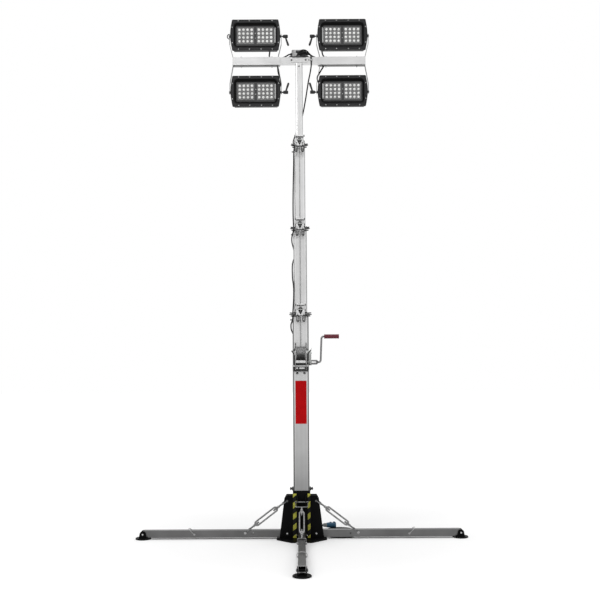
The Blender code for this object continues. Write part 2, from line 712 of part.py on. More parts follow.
def guide_path(half, top):
    # One wire: an open turn on the left, a cross rod behind the collar's cheeks, and a turn on the right.
    centre_x = half + GUIDE_REACH - GUIDE_R - GUIDE_WIRE
    centre_y = -half - GUIDE_R - GUIDE_WIRE - COLLAR_T
    turns = []
    for i in range(15):
        angle = math.radians(90 + 400 * i / 14)
        turns.append((centre_x + GUIDE_R * math.cos(angle) * -1, centre_y + GUIDE_R * math.sin(angle),
                      top - GUIDE_PITCH * i / 14))
    return turns


def make_collar(index):
    name, half, thickness, foot, top = LEVELS[index]
    axis_y, axis_z = sheave_place(index)
    face = -half - SEAT
    front = face - COLLAR_DEPTH
    high = top + COLLAR_RISE
    low = top - COLLAR_DROP
    in_x = COLLAR_W / 2 - COLLAR_T
    back = box((-COLLAR_W / 2, face - COLLAR_T, low), (COLLAR_W / 2, face, high))
    slot = box((-SLOT_W / 2, face - 2 * COLLAR_T, top + COLLAR_T),
               (SLOT_W / 2, face + COLLAR_T, high - 2 * COLLAR_T))
    solids = [joined([back], [slot])]
    cheek = ((face - COLLAR_T / 2, low), (face - COLLAR_DEPTH / 3, low), (front, top - COLLAR_DROP / 5),
             (front, high - COLLAR_DROP / 4), (front + COLLAR_DROP / 4, high), (face - COLLAR_T / 2, high))
    for side in (-1, 1):
        solids.append(prism(cheek, "X", side * in_x, side * COLLAR_W / 2))
    edge = in_x + SEAT
    funnel = ((-edge, top - COLLAR_DROP / 5), (edge, top - COLLAR_DROP / 5), (edge, axis_z),
              (NOTCH_W / 2, axis_z), (0, top - COLLAR_DROP / 9), (-NOTCH_W / 2, axis_z), (-edge, axis_z))
    solids.append(prism(funnel, "Y", front, front + COLLAR_FRONT_T))
    for height in (axis_z, top + COLLAR_BOLT_RISE):
        solids.append(cylinder("X", (0, axis_y, height), COLLAR_BOLT_R,
                               -COLLAR_BOLT_REACH, COLLAR_BOLT_REACH, 10))
    rod_z = top - GUIDE_PITCH
    right = guide_path(half, top)
    left = [(-x, y, z) for x, y, z in reversed(right)]
    solids.append(meshed(tube(left, GUIDE_WIRE, 1)))
    solids.append(meshed(tube(right, GUIDE_WIRE, 1)))
    solids.append(cylinder("X", (0, right[-1][1], rod_z), GUIDE_WIRE, left[0][0], right[-1][0], 8))
    finished(joined(solids), "collar_%d" % (index + 1), "zinc", (0, axis_y, axis_z))


def make_sheave(index):
    y, z = sheave_place(index)
    half = SHEAVE_W / 2
    bore = COLLAR_BOLT_R + SEAT
    floor = SHEAVE_R - SHEAVE_GROOVE
    profile = ((bore, -half), (SHEAVE_R, -half), (SHEAVE_R, -half * 0.55), (floor, -half * 0.25),
               (floor, half * 0.25), (SHEAVE_R, half * 0.55), (SHEAVE_R, half), (bore, half))
    wheel = turned(profile, "X", (0, y, z), 20, closed=True)
    finished(wheel, "sheave_%d" % (index + 1), "black_plastic", (0, y, z))


def rope_line_y(index):
    return sheave_place(index)[0] - (SHEAVE_R - SHEAVE_GROOVE + ROPE_R + SEAT)


def make_ropes():
    for index in range(3):
        y, z = sheave_place(index)
        line = rope_line_y(index)
        if index == 0:
            start = Vector((0, WINCH_AXIS_Y + DRUM_ROPE_R + ROPE_R + SEAT, WINCH_AXIS_Z))
        else:
            below = sheave_place(index - 1)[0]
            bolt_top = LEVELS[index - 1][4] + COLLAR_BOLT_RISE + COLLAR_BOLT_R
            start = Vector((0, below, bolt_top + ROPE_R + SEAT))
        end = Vector((0, line, z - SEAT))
        points = [start.lerp(end, i / 8) for i in range(9)]
        finished_curve(tube(points, ROPE_R, 2), "rope_%d" % (index + 1), "rope")


def finished_curve(item, name, material):
    item.name = name
    item.data.name = name
    item.data.materials.append(finish(material))


def cheek_outline(sink, back):
    # From the foot at the mast, forward round the nose and back to the top. Columns: y, z
    nose = CRANK_Y - CHEEK_NOSE
    return ((sink, WINCH_FOOT + 0.006), (back - 0.036, WINCH_FOOT + 0.002),
            (WINCH_AXIS_Y - 0.025, WINCH_FOOT + 0.012),
            (nose, CRANK_Z - CHEEK_NOSE_H / 3), (nose, CRANK_Z + CHEEK_NOSE_H * 2 / 3),
            (WINCH_AXIS_Y - 0.035, WINCH_AXIS_Z + 0.004), (WINCH_AXIS_Y - 0.015, WINCH_AXIS_Z + 0.026),
            (WINCH_AXIS_Y + 0.029, WINCH_AXIS_Z + 0.032), (back - 0.016, WINCH_HEAD), (sink, WINCH_HEAD))


def make_winch_frame():
    face = -LEVELS[0][1] - SEAT
    back = face - WINCH_BACK_T
    out = WINCH_CHEEK_X + WINCH_CHEEK_T
    half = WINCH_BASE_W / 2
    corner = WINCH_CORNER
    right = ((half - corner, WINCH_FOOT), (half, WINCH_FOOT + corner), (half, WINCH_FOOT + WINCH_BASE_H),
             (half - corner, WINCH_FOOT + WINCH_BASE_H + corner), (out, WINCH_HEAD - 2 * corner))
    left = [(-x, z) for x, z in reversed(right)]
    sink = back + WINCH_BACK_T / 2
    solids = [prism(list(right) + left, "Y", back, face)]
    for side in (-1, 1):
        solids.append(prism(cheek_outline(sink, back), "X", side * WINCH_CHEEK_X, side * out))
    root = WINCH_CHEEK_T / 2 - out
    # Columns: x, height above the drum's axis
    pawl = ((root, -0.012), (root, 0.002), (-0.064, 0.028), (-0.068, 0.022), (-0.048, -0.008))
    pawl = [(x, WINCH_AXIS_Z + z) for x, z in pawl]
    solids.append(prism(pawl, "Y", PAWL_Y - PAWL_W / 2, PAWL_Y + PAWL_W / 2))
    tie = WINCH_CHEEK_X + WINCH_CHEEK_T / 4
    tie_y = CRANK_Y - CHEEK_NOSE + TIE_T
    tie_z = CRANK_Z + TIE_RISE
    solids.append(box((-tie, tie_y - TIE_T, tie_z - TIE_H / 2), (tie, tie_y, tie_z + TIE_H / 2)))
    # Two folds that stiffen the back plate. Columns: middle above the foot, reach in front of the plate
    for rise, reach in ((0.038, 0.054), (0.008, 0.040)):
        low = WINCH_FOOT + rise - WINCH_SIDE_FLANGE / 2
        solids.append(box((-half, back - reach, low), (half, sink, low + WINCH_SIDE_FLANGE)))
    bore = cylinder("X", (0, WINCH_AXIS_Y, WINCH_AXIS_Z), DRUM_SHAFT_R + RUN, -2 * out, 2 * out)
    finished(joined(solids, [bore]), "winch_frame", "zinc")


def make_winch_drum():
    half = DRUM_ROPE_W / 2
    flange = half + DRUM_FLANGE_T
    left = -(WINCH_CHEEK_X + 2 * WINCH_CHEEK_T)
    right = WINCH_CHEEK_X + WINCH_CHEEK_T - SEAT
    profile = ((0, left), (DRUM_SHAFT_R, left), (DRUM_SHAFT_R, -flange), (DRUM_FLANGE_R, -flange),
               (DRUM_FLANGE_R, -half), (DRUM_ROPE_R, -half), (DRUM_ROPE_R, half), (DRUM_FLANGE_R, half),
               (DRUM_FLANGE_R, flange), (DRUM_SHAFT_R, flange), (DRUM_SHAFT_R, right), (0, right))
    at = (0, WINCH_AXIS_Y, WINCH_AXIS_Z)
    finished(turned(profile, "X", at, 32), "winch_drum", "rope", at)


def gear_case_span():
    near = WINCH_CHEEK_X + WINCH_CHEEK_T + SEAT
    return near, near + GEAR_CASE_W


def make_gear_case():
    near, far = gear_case_span()
    outline = arc((WINCH_AXIS_Y, WINCH_AXIS_Z), GEAR_BIG_R, -8, 172, 8)
    outline += arc((CRANK_Y, CRANK_Z), GEAR_SMALL_R, 178, 352, 7)
    case = prism(outline, "X", near, far)
    bore = cylinder("X", (0, CRANK_Y, CRANK_Z), CRANK_SHAFT_R + RUN, (near + far) / 2, far + GEAR_CASE_W)
    finished(joined([case], [bore]), "winch_gear_case", "gear_case")


def make_crank():
    near, far = gear_case_span()
    hub_start = far + RUN
    hub_end = hub_start + CRANK_HUB_W
    inside = (near + far) / 2 + RUN
    shoulder = hub_end + CRANK_ROD
    profile = ((0, inside), (CRANK_SHAFT_R, inside), (CRANK_SHAFT_R, hub_start), (CRANK_HUB_R, hub_start),
               (CRANK_HUB_R, hub_end), (CRANK_ROD * 1.4, shoulder), (0, shoulder))
    at = (0, CRANK_Y, CRANK_Z)
    hub = turned(profile, "X", at, 20)
    top = CRANK_Z + CRANK_ARM
    low_x = CRANK_ARM_X - CRANK_LEAN
    route = [(hub_end, CRANK_Z), (low_x - CRANK_BEND, CRANK_Z)]
    route += arc((low_x - CRANK_BEND, CRANK_Z + CRANK_BEND), CRANK_BEND, -75, 0, 5)
    route += [(CRANK_ARM_X - CRANK_LEAN / 2, CRANK_Z + CRANK_ARM / 2)]
    route += arc((CRANK_ARM_X + CRANK_BEND, top - CRANK_BEND), CRANK_BEND, 180, 90, 5)
    route += [(GRIP_X - SEAT, top)]
    rod = meshed(tube([(x, CRANK_Y, z) for x, z in route], CRANK_ROD, 2))
    finished(joined([hub, rod]), "winch_crank", "zinc", at)
    end = GRIP_X + GRIP_L
    taper = GRIP_R * 0.86
    grip = ((0, GRIP_X), (taper, GRIP_X), (GRIP_R, GRIP_X + GRIP_R * 0.7),
            (GRIP_R, end - GRIP_R * 1.4), (taper, end), (0, end))
    finished(turned(grip, "X", (0, CRANK_Y, top), 16), "crank_grip", "red_grip", at)


def make_crossbar():
    half_d = CROSSBAR_D / 2
    w = CROSSBAR_WALL
    reach = CROSSBAR_END_START + 0.02
    # Channel with its lips folded in, open to the front
    low = CROSSBAR_LOW
    top = CROSSBAR_TOP
    section = ((-half_d, low), (half_d, low), (half_d, top), (-half_d, top),
               (-half_d, top - 4 * w), (-half_d + w, top - 4 * w), (-half_d + w, top - w),
               (half_d - w, top - w), (half_d - w, low + w), (-half_d + w, low + w),
               (-half_d + w, low + 4 * w), (-half_d, low + 4 * w))
    solids = [prism(section, "X", -reach, reach)]
    half_e = CROSSBAR_END_D / 2
    low = CROSSBAR_END_LOW
    top = CROSSBAR_TOP + SEAT * 4
    # Heavier channel over each end, open below
    lip = YOKE_STRIP / 2 - w
    sleeve = ((-half_e, low), (-lip, low), (-lip, low + w), (-half_e + w, low + w),
              (-half_e + w, top - w), (half_e - w, top - w), (half_e - w, low + w), (lip, low + w),
              (lip, low), (half_e, low), (half_e, top), (-half_e, top))
    for side in (-1, 1):
        solids.append(prism(sleeve, "X", side * CROSSBAR_END_START, side * CROSSBAR_HALF))
    finished(joined(solids), "crossbar", "aluminium", round_piece=False)


def make_junction_box():
    low = CROSSBAR_TOP + SEAT
    half_w = BOX_W / 2
    half_d = BOX_D / 2
    section = ((-half_d, low), (half_d, low), (half_d, low + BOX_H * 0.8), (half_d - 0.010, low + BOX_H),
               (-half_d + 0.010, low + BOX_H), (-half_d, low + BOX_H * 0.8))
    finished(prism(section, "X", -half_w, half_w), "junction_box", "black_plastic", round_piece=False)


def lamp_outline(inset):
    # Straight top and bottom edges, small corners and sides that bow outwards.
    end = LAMP_END_W / 2 - inset
    half = LAMP_H / 2 - inset
    straight = half - LAMP_CORNER
    points = []
    for sx, start in ((1, 0), (-1, 90), (-1, 180), (1, 270)):
        sz = 1 if start < 180 else -1
        points += arc((sx * (end - LAMP_CORNER), sz * straight), LAMP_CORNER, start, start + 90, 3)
        if start in (90, 270):
            for i in range(1, 6):
                z = sz * straight * (1 - i / 3)
                points.append((sx * (end + LAMP_BOW * math.cos(math.pi / 2 * z / straight)), z))
    return points


def lamp_centre(side, level):
    z = CROSSBAR_TOP + LAMP_LIFT if level > 0 else CROSSBAR_END_LOW - LAMP_DROP
    return side * LAMP_X, z


def make_lamp(name, side, level):
    x, z = lamp_centre(side, level)
    front = -LAMP_FRONT
    shelf = front + LAMP_BEZEL_T
    back = shelf + LAMP_SHELL_T
    root = back - LAMP_FIN_T
    solids = [prism(lamp_outline(0.0), "Y", front, shelf)]
    solids.append(prism(lamp_outline(LAMP_INSET), "Y", shelf - LAMP_BEZEL_T / 4, back))
    pitch = (LAMP_END_W - 2 * LAMP_INSET - 2 * LAMP_FIN_MARGIN) / (LAMP_FIN_COUNT - 1)
    for i in range(LAMP_FIN_COUNT):
        place = (i - (LAMP_FIN_COUNT - 1) / 2) * pitch
        fin = ((root, -LAMP_FIN_H / 2), (back + LAMP_FIN_D, -LAMP_FIN_H / 2 + LAMP_FIN_D),
               (back + LAMP_FIN_D, LAMP_FIN_H / 2 - LAMP_FIN_D), (root, LAMP_FIN_H / 2))
        solids.append(prism(fin, "X", place - LAMP_FIN_T / 2, place + LAMP_FIN_T / 2))
    near = LAMP_W / 2 + YOKE_GAP
    arm = near + YOKE_T
    sunk = LAMP_END_W / 2 - LAMP_INSET / 2
    hub_start = arm + LEVER_HUB_START
    hub_end = hub_start + LEVER_HUB_W
    for end in (-1, 1):
        profile = [(0, sunk), (LAMP_PIN_HEAD, sunk), (LAMP_PIN_HEAD, near - RUN), (LAMP_PIN_R, near - RUN)]
        if end == -side:
            profile += [(LAMP_PIN_R, hub_start), (LAMP_PIN_HEAD * 0.8, hub_start),
                        (LAMP_PIN_HEAD, hub_start + LEVER_HUB_W / 4), (LAMP_PIN_HEAD, hub_end), (0, hub_end)]
        else:
            profile += [(LAMP_PIN_R, arm + RUN), (LAMP_PIN_HEAD, arm + RUN), (LAMP_PIN_HEAD, arm + YOKE_GAP),
                        (0, arm + YOKE_GAP)]
        solids.append(turned([(r, end * t) for r, t in profile], "X", (0, 0, 0), 12))
    middle = (hub_start + hub_end) / 2
    lever = [(-side * middle, 0, 0), (-side * (middle + LEVER_LEAN), 0, -level * LEVER_L)]
    solids.append(meshed(tube(lever, LEVER_R, 2)))
    opening = rounded_box(WINDOW_W / 2, WINDOW_H / 2, WINDOW_CORNER)
    window = prism(opening, "Y", front - WINDOW_DEPTH, front + WINDOW_DEPTH)
    housing = joined(solids, [window])
    housing.data.transform(Matrix.Translation((x, 0, z)))
    finished(housing, "lamp_" + name, "black_plastic", (x, 0, z))
    pane = rounded_box(WINDOW_W / 2 - SEAT, WINDOW_H / 2 - SEAT, WINDOW_CORNER - SEAT)
    low = front + WINDOW_DEPTH - SEAT
    panel = prism(pane, "Y", low - PANEL_T, low)
    panel.data.transform(Matrix.Translation((x, 0, z)))
    finished(panel, "led_panel_" + name, "led_panel", (x, 0, z), round_piece=False)


def make_yoke(name, side, level):
    # A strip bent to a U: its foot on the crossbar is shorter than the lamp, so the arms lean out to a knee.
    x, z = lamp_centre(side, level)
    base = CROSSBAR_TOP + 5 * SEAT if level > 0 else CROSSBAR_END_LOW - SEAT
    knee = z - level * YOKE_KNEE
    end = z + level * YOKE_STRIP / 2
    near = LAMP_W / 2 + YOKE_GAP
    outer = [(YOKE_FOOT, base), (near + YOKE_T, knee), (near + YOKE_T, end)]
    inner = [(near, end), (near, knee), (YOKE_FOOT - YOKE_T, base + level * YOKE_T)]
    half = outer + inner
    outline = [(x + u, v) for u, v in half] + [(x - u, v) for u, v in reversed(half)]
    strip = prism(outline, "Y", -YOKE_STRIP / 2, YOKE_STRIP / 2)
    hole = cylinder("X", (x, 0, z), LAMP_PIN_R + RUN, -near - 2 * YOKE_T, near + 2 * YOKE_T, 12)
    finished(joined([strip], [hole]), "yoke_" + name, "zinc", (x, 0, z), round_piece=False)


def guide_spot(index):
    half, top = LEVELS[index][1], LEVELS[index][4]
    x = -(half + GUIDE_REACH - GUIDE_R - GUIDE_WIRE)
    return Vector((x, -half - GUIDE_R - GUIDE_WIRE - COLLAR_T, top - GUIDE_PITCH / 2))


def held_cable(name, above, below, half, route):
    # The ends run straight down, so that they meet the next length squarely.
    start = above - Vector((0, 0, SEAT / 2))
    end = below + Vector((0, 0, SEAT / 2))
    lead = Vector((0, 0, 2 * CABLE_R))
    between = [Vector((half * u, half * v, above.z + (below.z - above.z) * down)) for u, v, down in route]
    points = [start] + smooth_path([start - lead] + between + [end + lead], 4.5 * CABLE_R) + [end]
    finished_curve(tube(points, CABLE_R, 1), name, "cable")


def make_cables():
    outlet = Vector((CABLE_OUTLET_X, 0.0, CROSSBAR_LOW - SEAT))
    held_cable("cable_4", outlet, guide_spot(2), LEVELS[3][1], CABLE_4_ROUTE)
    held_cable("cable_3", guide_spot(2), guide_spot(1), LEVELS[2][1], CABLE_3_ROUTE)
    held_cable("cable_2", guide_spot(1), guide_spot(0), LEVELS[1][1], CABLE_2_ROUTE)


def coil_outline(inset):
    # Straight long sides and round ends.
    half = COIL_HALF_X - inset
    straight = COIL_HALF_Y - COIL_HALF_X
    return (arc((COIL_X, COIL_Y + straight), half, 0, 180, 14)
            + arc((COIL_X, COIL_Y - straight), half, 180, 360, 14))


def make_tail():
    half = LEVELS[0][1]
    first = guide_spot(0) - Vector((0, 0, SEAT / 2))
    route = [first - Vector((0, 0, 2 * CABLE_R))]
    route += [Vector((half * u, half * v, first.z * share)) for u, v, share in TAIL_DROP]
    route += [Vector((x, y, z + CABLE_R)) for x, y, z in TAIL_FLOOR]
    # Its last stretch lies along the coil's side
    end = Vector((COIL_X - COIL_HALF_X - SEAT - CABLE_R, TAIL_Y, CABLE_R))
    route.append(end - Vector((0, 2 * CABLE_R, 0)))
    points = [first] + smooth_path(route, 6.5 * CABLE_R) + [end]
    finished_curve(tube(points, CABLE_R, 1), "cable_tail", "cable")


def make_lead():
    crest = 3 * CABLE_R + SEAT
    height = plug_height()
    outer = COIL_X - COIL_HALF_X
    inner = outer + COIL_BAND - CABLE_R
    # Over the coil's turns. Columns: x, distance along y from where it rises
    over = ((inner, 0.0), (inner - 0.006, 0.026), (inner - 0.026, 0.052),
            (outer, 0.066), (outer - 0.022, 0.070))
    end = Vector((PLUG_X - SEAT, PLUG_Y, height))
    route = [Vector((x, LEAD_Y + y, crest)) for x, y in over]
    route += [Vector((x, y, z + CABLE_R)) for x, y, z in LEAD_FLOOR]
    route.append(end - Vector((2 * CABLE_R, 0, 0)))
    points = smooth_path(route, 4 * CABLE_R) + [end]
    finished_curve(tube(points, CABLE_R, 1), "cable_lead", "cable")


def make_coil():
    inner = coil_outline(COIL_BAND)
    outer = coil_outline(0.0)
    high = 2 * CABLE_R
    finished(wall(((inner, 0.0), (outer, 0.0), (outer, high), (inner, high))), "cable_coil", "cable",
             round_piece=False)


def plug_height():
    return 2 * CABLE_R + SEAT + PLUG_R


def make_plug():
    body = PLUG_X + GLAND_L
    end = PLUG_X + PLUG_L
    inside = PLUG_R - PLUG_RIM
    profile = ((0, PLUG_X), (GLAND_R * 0.7, PLUG_X), (GLAND_R, PLUG_X + GLAND_L / 3),
               (GLAND_R, body - GLAND_L / 4), (PLUG_R * 0.92, body), (PLUG_R, body + GLAND_L / 3),
               (PLUG_R, end), (inside, end), (inside, end - PLUG_SOCKET), (0, end - PLUG_SOCKET))
    finished(turned(profile, "X", (0, PLUG_Y, plug_height()), 20), "cable_plug", "blue_plug")


def build():
    clear_scene()
    make_mast()
    make_base_plate()
    make_base_frame()
    make_leg_pins()
    make_legs()
    make_feet()
    make_braces()
    for index in range(3):
        make_collar(index)
        make_sheave(index)
    make_ropes()
    make_winch_frame()
    make_winch_drum()
    make_gear_case()
    make_crank()
    make_crossbar()
    make_junction_box()
    for name, side, level in LAMPS:
        make_lamp(name, side, level)
        make_yoke(name, side, level)
    make_cables()
    make_tail()
    make_coil()
    make_lead()
    make_plug()


build()
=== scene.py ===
import math

import bmesh
import bpy
from mathutils import Matrix, Vector


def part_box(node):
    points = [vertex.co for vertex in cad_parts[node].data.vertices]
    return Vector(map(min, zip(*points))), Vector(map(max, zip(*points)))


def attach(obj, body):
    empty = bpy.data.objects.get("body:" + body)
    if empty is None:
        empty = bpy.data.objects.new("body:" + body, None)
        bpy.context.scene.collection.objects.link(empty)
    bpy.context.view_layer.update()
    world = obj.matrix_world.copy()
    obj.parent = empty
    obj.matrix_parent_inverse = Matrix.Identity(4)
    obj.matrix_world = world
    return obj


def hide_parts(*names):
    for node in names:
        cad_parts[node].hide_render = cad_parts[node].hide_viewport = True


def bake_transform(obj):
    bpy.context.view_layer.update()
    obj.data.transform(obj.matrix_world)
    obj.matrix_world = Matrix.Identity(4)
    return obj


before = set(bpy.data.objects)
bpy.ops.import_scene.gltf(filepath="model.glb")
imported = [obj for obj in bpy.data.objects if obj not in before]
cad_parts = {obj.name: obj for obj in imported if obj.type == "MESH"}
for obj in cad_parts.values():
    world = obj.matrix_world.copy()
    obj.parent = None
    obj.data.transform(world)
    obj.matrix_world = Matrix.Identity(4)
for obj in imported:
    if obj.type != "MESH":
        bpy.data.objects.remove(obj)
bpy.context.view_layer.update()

# Heights and half widths of the four mast sections, from the ground up
tubeTop = [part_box("mast_%d" % i)[1][2] for i in (1, 2, 3, 4)]
tubeHalf = [0.06, 0.05, 0.041, 0.026]
sectionBody = ["base", "section_2", "section_3", "head"]
frontWay = (0, -1, 0)  # out of the front of the stand


def stageReport(text):
    print("made: " + text)


# Node helpers
def feed(tree, made, inputs):
    # Each input is fed by another node's socket or holds a value
    for name, value in dict(inputs).items():
        if isinstance(value, bpy.types.NodeSocket):
            tree.links.new(value, made.inputs[name])
        else:
            made.inputs[name].default_value = value
    return made


def addNode(tree, kind, inputs=(), **settings):
    made = tree.nodes.new("ShaderNode" + kind)
    for name, value in settings.items():
        setattr(made, name, value)
    return feed(tree, made, inputs)


def mathStep(tree, operation, *values):
    return addNode(tree, "Math", enumerate(values), operation=operation).outputs[0]


def colourOf(shade):
    # A colour as it is, or a level of grey
    return shade if isinstance(shade, tuple) else (shade,) * 3


def rampOf(tree, value, *stops):
    # Each stop is a place and a shade
    ramp = addNode(tree, "ValToRGB", {"Fac": value})
    elements = ramp.color_ramp.elements
    elements[0].position, elements[0].color = stops[0][0], (*colourOf(stops[0][1]), 1)
    elements[1].position, elements[1].color = stops[-1][0], (*colourOf(stops[-1][1]), 1)
    for place, shade in stops[1:-1]:
        elements.new(place).color = (*colourOf(shade), 1)
    return ramp.outputs["Color"]


def axesOf(tree, vector=None):
    # The X, Y and Z of a vector, or else of the place on the object, in the frame's own metres
    vector = vector or addNode(tree, "TexCoord").outputs["Object"]
    return addNode(tree, "SeparateXYZ", {0: vector}).outputs


def multiplied(tree, first, second):
    return addNode(tree, "Mix", {"Factor": 1.0, "A": first, "B": second},
                   data_type="RGBA", blend_type="MULTIPLY").outputs["Result"]


def nodeMaterial(name):
    material = bpy.data.materials.new(name)
    material.use_nodes = True
    return material, material.node_tree, material.node_tree.nodes["Principled BSDF"]


# Stage: camera, floor and lights
shot = {"distance": 6.1, "height": 1.2, "lens": 48.84, "shiftY": 0.13, "shiftX": -0.0015, "roll": 0.35}
camera = bpy.data.objects.new("camera", bpy.data.cameras.new("camera"))
bpy.context.scene.collection.objects.link(camera)
camera.location = (0.0, -shot["distance"], shot["height"])
camera.rotation_euler = (math.radians(90), math.radians(shot["roll"]), 0.0)
camera.data.lens = shot["lens"]
camera.data.sensor_width = 36.0
camera.data.shift_y = shot["shiftY"]
camera.data.shift_x = shot["shiftX"]
bpy.context.scene.camera = camera
bpy.context.scene.view_settings.view_transform = "Standard"


def seenFactor(tree):
    # One for what the camera, a reflection or a pane sees, zero for the light that falls on the object
    path = addNode(tree, "LightPath").outputs
    mirrored = mathStep(tree, "MAXIMUM", path["Is Camera Ray"], path["Is Glossy Ray"])
    return mathStep(tree, "MAXIMUM", mirrored, path["Is Transmission Ray"])


def makeWorld():
    sky = {"low": 0.3, "middle": 0.7, "high": 1.0, "strength": 0.7}
    world = bpy.data.worlds.new("studio")
    bpy.context.scene.world = world
    world.use_nodes = True
    tree = world.node_tree
    tree.nodes.clear()
    height = axesOf(tree, addNode(tree, "TexCoord").outputs["Generated"])["Z"]
    height = addNode(tree, "MapRange", {"Value": height, "From Min": -1.0}).outputs["Result"]
    colour = rampOf(tree, height, (0.0, sky["low"]), (0.5, sky["middle"]), (1.0, sky["high"]))
    glow = addNode(tree, "Background", {"Color": colour, "Strength": sky["strength"]})
    seen = addNode(tree, "Background", {"Color": (1, 1, 1, 1), "Strength": 1.0})
    mix = addNode(tree, "MixShader", {0: seenFactor(tree), 1: glow.outputs[0], 2: seen.outputs[0]})
    addNode(tree, "OutputWorld", {0: mix.outputs[0]})


def makeLight(name, place, target, size, power):
    data = bpy.data.lights.new(name, "AREA")
    data.shape = "RECTANGLE"
    data.size, data.size_y = size
    data.energy = power
    light = bpy.data.objects.new(name, data)
    light.location = place
    light.rotation_euler = (Vector(target) - Vector(place)).to_track_quat("-Z", "Y").to_euler()
    bpy.context.scene.collection.objects.link(light)


def makeFloor():
    ground = {"half": 60.0, "white": 0.82, "reach": 10.0,
              "lift": ((0.0, 0.02), (0.1, 0.05), (0.3, 0.28), (0.6, 0.54), (1.0, 0.72))}
    bm = bmesh.new()
    bmesh.ops.create_grid(bm, x_segments=1, y_segments=1, size=ground["half"])
    mesh = bpy.data.meshes.new("floor")
    bm.to_mesh(mesh)
    bm.free()
    floor = bpy.data.objects.new("floor", mesh)
    bpy.context.scene.collection.objects.link(floor)
    material, tree, shader = nodeMaterial("floor")
    # White to the eye, with the soft shadows kept: the lift grows where the studio's lights reach less
    place = addNode(tree, "TexCoord").outputs["Object"]
    away = addNode(tree, "VectorMath", {0: place}, operation="LENGTH").outputs["Value"]
    lift = rampOf(tree, mathStep(tree, "DIVIDE", away, ground["reach"]), *ground["lift"])
    feed(tree, shader, {
        "Base Color": (*colourOf(ground["white"]), 1), "Roughness": 1.0, "Specular IOR Level": 0.0,
        "Emission Color": (1, 1, 1, 1), "Emission Strength": mathStep(tree, "MULTIPLY", seenFactor(tree), lift)})
    mesh.materials.append(material)


makeWorld()
makeFloor()
for lightPlan in (  # name, place, target, size, power
    ("key", (-3.5, -4.5, 5.5), (0, 0, 1.8), (3.0, 3.0), 130),
    ("fill", (4.5, -4.0, 3.0), (0, 0, 1.8), (2.5, 4.0), 50),
    ("top", (0.0, 0.5, 7.5), (0, 0, 0), (6.0, 6.0), 240),
):
    makeLight(*lightPlan)
stageReport("stage")


# Materials
def noiseAt(tree, scale, stretch=(1, 1, 1), detail=4.0, rough=0.55):
    place = addNode(tree, "TexCoord").outputs["Object"]
    place = addNode(tree, "Mapping", {"Scale": stretch, "Vector": place}).outputs["Vector"]
    noise = {"Scale": scale, "Detail": detail, "Roughness": rough, "Vector": place}
    return addNode(tree, "TexNoise", noise).outputs["Fac"]


def bumpOf(tree, value, strength, distance):
    return addNode(tree, "Bump", {"Strength": strength, "Distance": distance, "Height": value}).outputs["Normal"]


def edgeWear(tree, base, worn, size, strength):
    # Lighter where the surface turns: the rounded normal differs from the flat one
    turn = {"starts": 0.97, "full": 0.8}
    rounded = addNode(tree, "Bevel", {"Radius": size}, samples=4).outputs["Normal"]
    flat = addNode(tree, "NewGeometry").outputs["Normal"]
    dot = addNode(tree, "VectorMath", {0: rounded, 1: flat}, operation="DOT_PRODUCT").outputs["Value"]
    edge = addNode(tree, "MapRange", {"Value": dot, "From Min": turn["starts"], "From Max": turn["full"],
                                      "To Max": strength}).outputs["Result"]
    return addNode(tree, "Mix", {"Factor": edge, "A": base, "B": (*colourOf(worn), 1)},
                   data_type="RGBA").outputs["Result"]


def drawnMetal(name, dark, light, along, roughness=(0.3, 0.44), wear=0.5):
    # Extruded or drawn aluminium: fine lines along its length over soft patches
    drawn = {"patches": 3.5, "lines": 420.0, "stretch": 0.02, "edge": 0.002, "bump": 0.12, "depth": 0.0004}
    material, tree, shader = nodeMaterial(name)
    stretch = tuple(drawn["stretch"] if axis == along else 1 for axis in "XYZ")
    lines = noiseAt(tree, drawn["lines"], stretch, 2.0)
    colour = rampOf(tree, noiseAt(tree, drawn["patches"], detail=3.0), (0.3, dark), (0.7, light))
    feed(tree, shader, {
        "Base Color": edgeWear(tree, colour, min(1.0, light + 0.12), drawn["edge"], wear), "Metallic": 1.0,
        "Roughness": rampOf(tree, lines, (0.35, roughness[0]), (0.65, roughness[1])),
        "Normal": bumpOf(tree, lines, drawn["bump"], drawn["depth"])})
    return material


def platedMetal(name, dark, light, roughness=(0.22, 0.42), wear=0.5):
    # Zinc plate: a fine spangle with dull spots
    plate = {"spangle": 55.0, "edge": 0.001, "brighter": 1.8, "grain": 260.0, "bump": 0.1, "depth": 0.0004}
    material, tree, shader = nodeMaterial(name)
    spangle = noiseAt(tree, plate["spangle"], detail=5.0, rough=0.65)
    colour = rampOf(tree, spangle, (0.36, dark), (0.64, light))
    feed(tree, shader, {
        "Base Color": edgeWear(tree, colour, min(0.92, light * plate["brighter"]), plate["edge"], wear),
        "Metallic": 1.0, "Roughness": rampOf(tree, spangle, (0.3, roughness[0]), (0.7, roughness[1])),
        "Normal": bumpOf(tree, noiseAt(tree, plate["grain"]), plate["bump"], plate["depth"])})
    return material


def coated(name, colour, worn, grain=900.0, roughness=(0.36, 0.52), bump=0.25, wear=0.35, shine=0.28):
    # Powder coat or moulded plastic: a fine grain and lighter edges
    coat = {"patches": 9.0, "darker": 0.85, "lighter": 1.15, "edge": 0.0012, "depth": 0.0003}
    material, tree, shader = nodeMaterial(name)
    patches = noiseAt(tree, coat["patches"])
    low, high = (tuple(c * coat[change] for c in colourOf(colour)) for change in ("darker", "lighter"))
    base = rampOf(tree, patches, (0.3, low), (0.7, high))
    feed(tree, shader, {
        "Base Color": edgeWear(tree, base, worn, coat["edge"], wear),
        "Roughness": rampOf(tree, patches, (0.3, roughness[0]), (0.7, roughness[1])), "Specular IOR Level": shine,
        "Normal": bumpOf(tree, noiseAt(tree, grain, detail=2.0), bump, coat["depth"])})
    return material


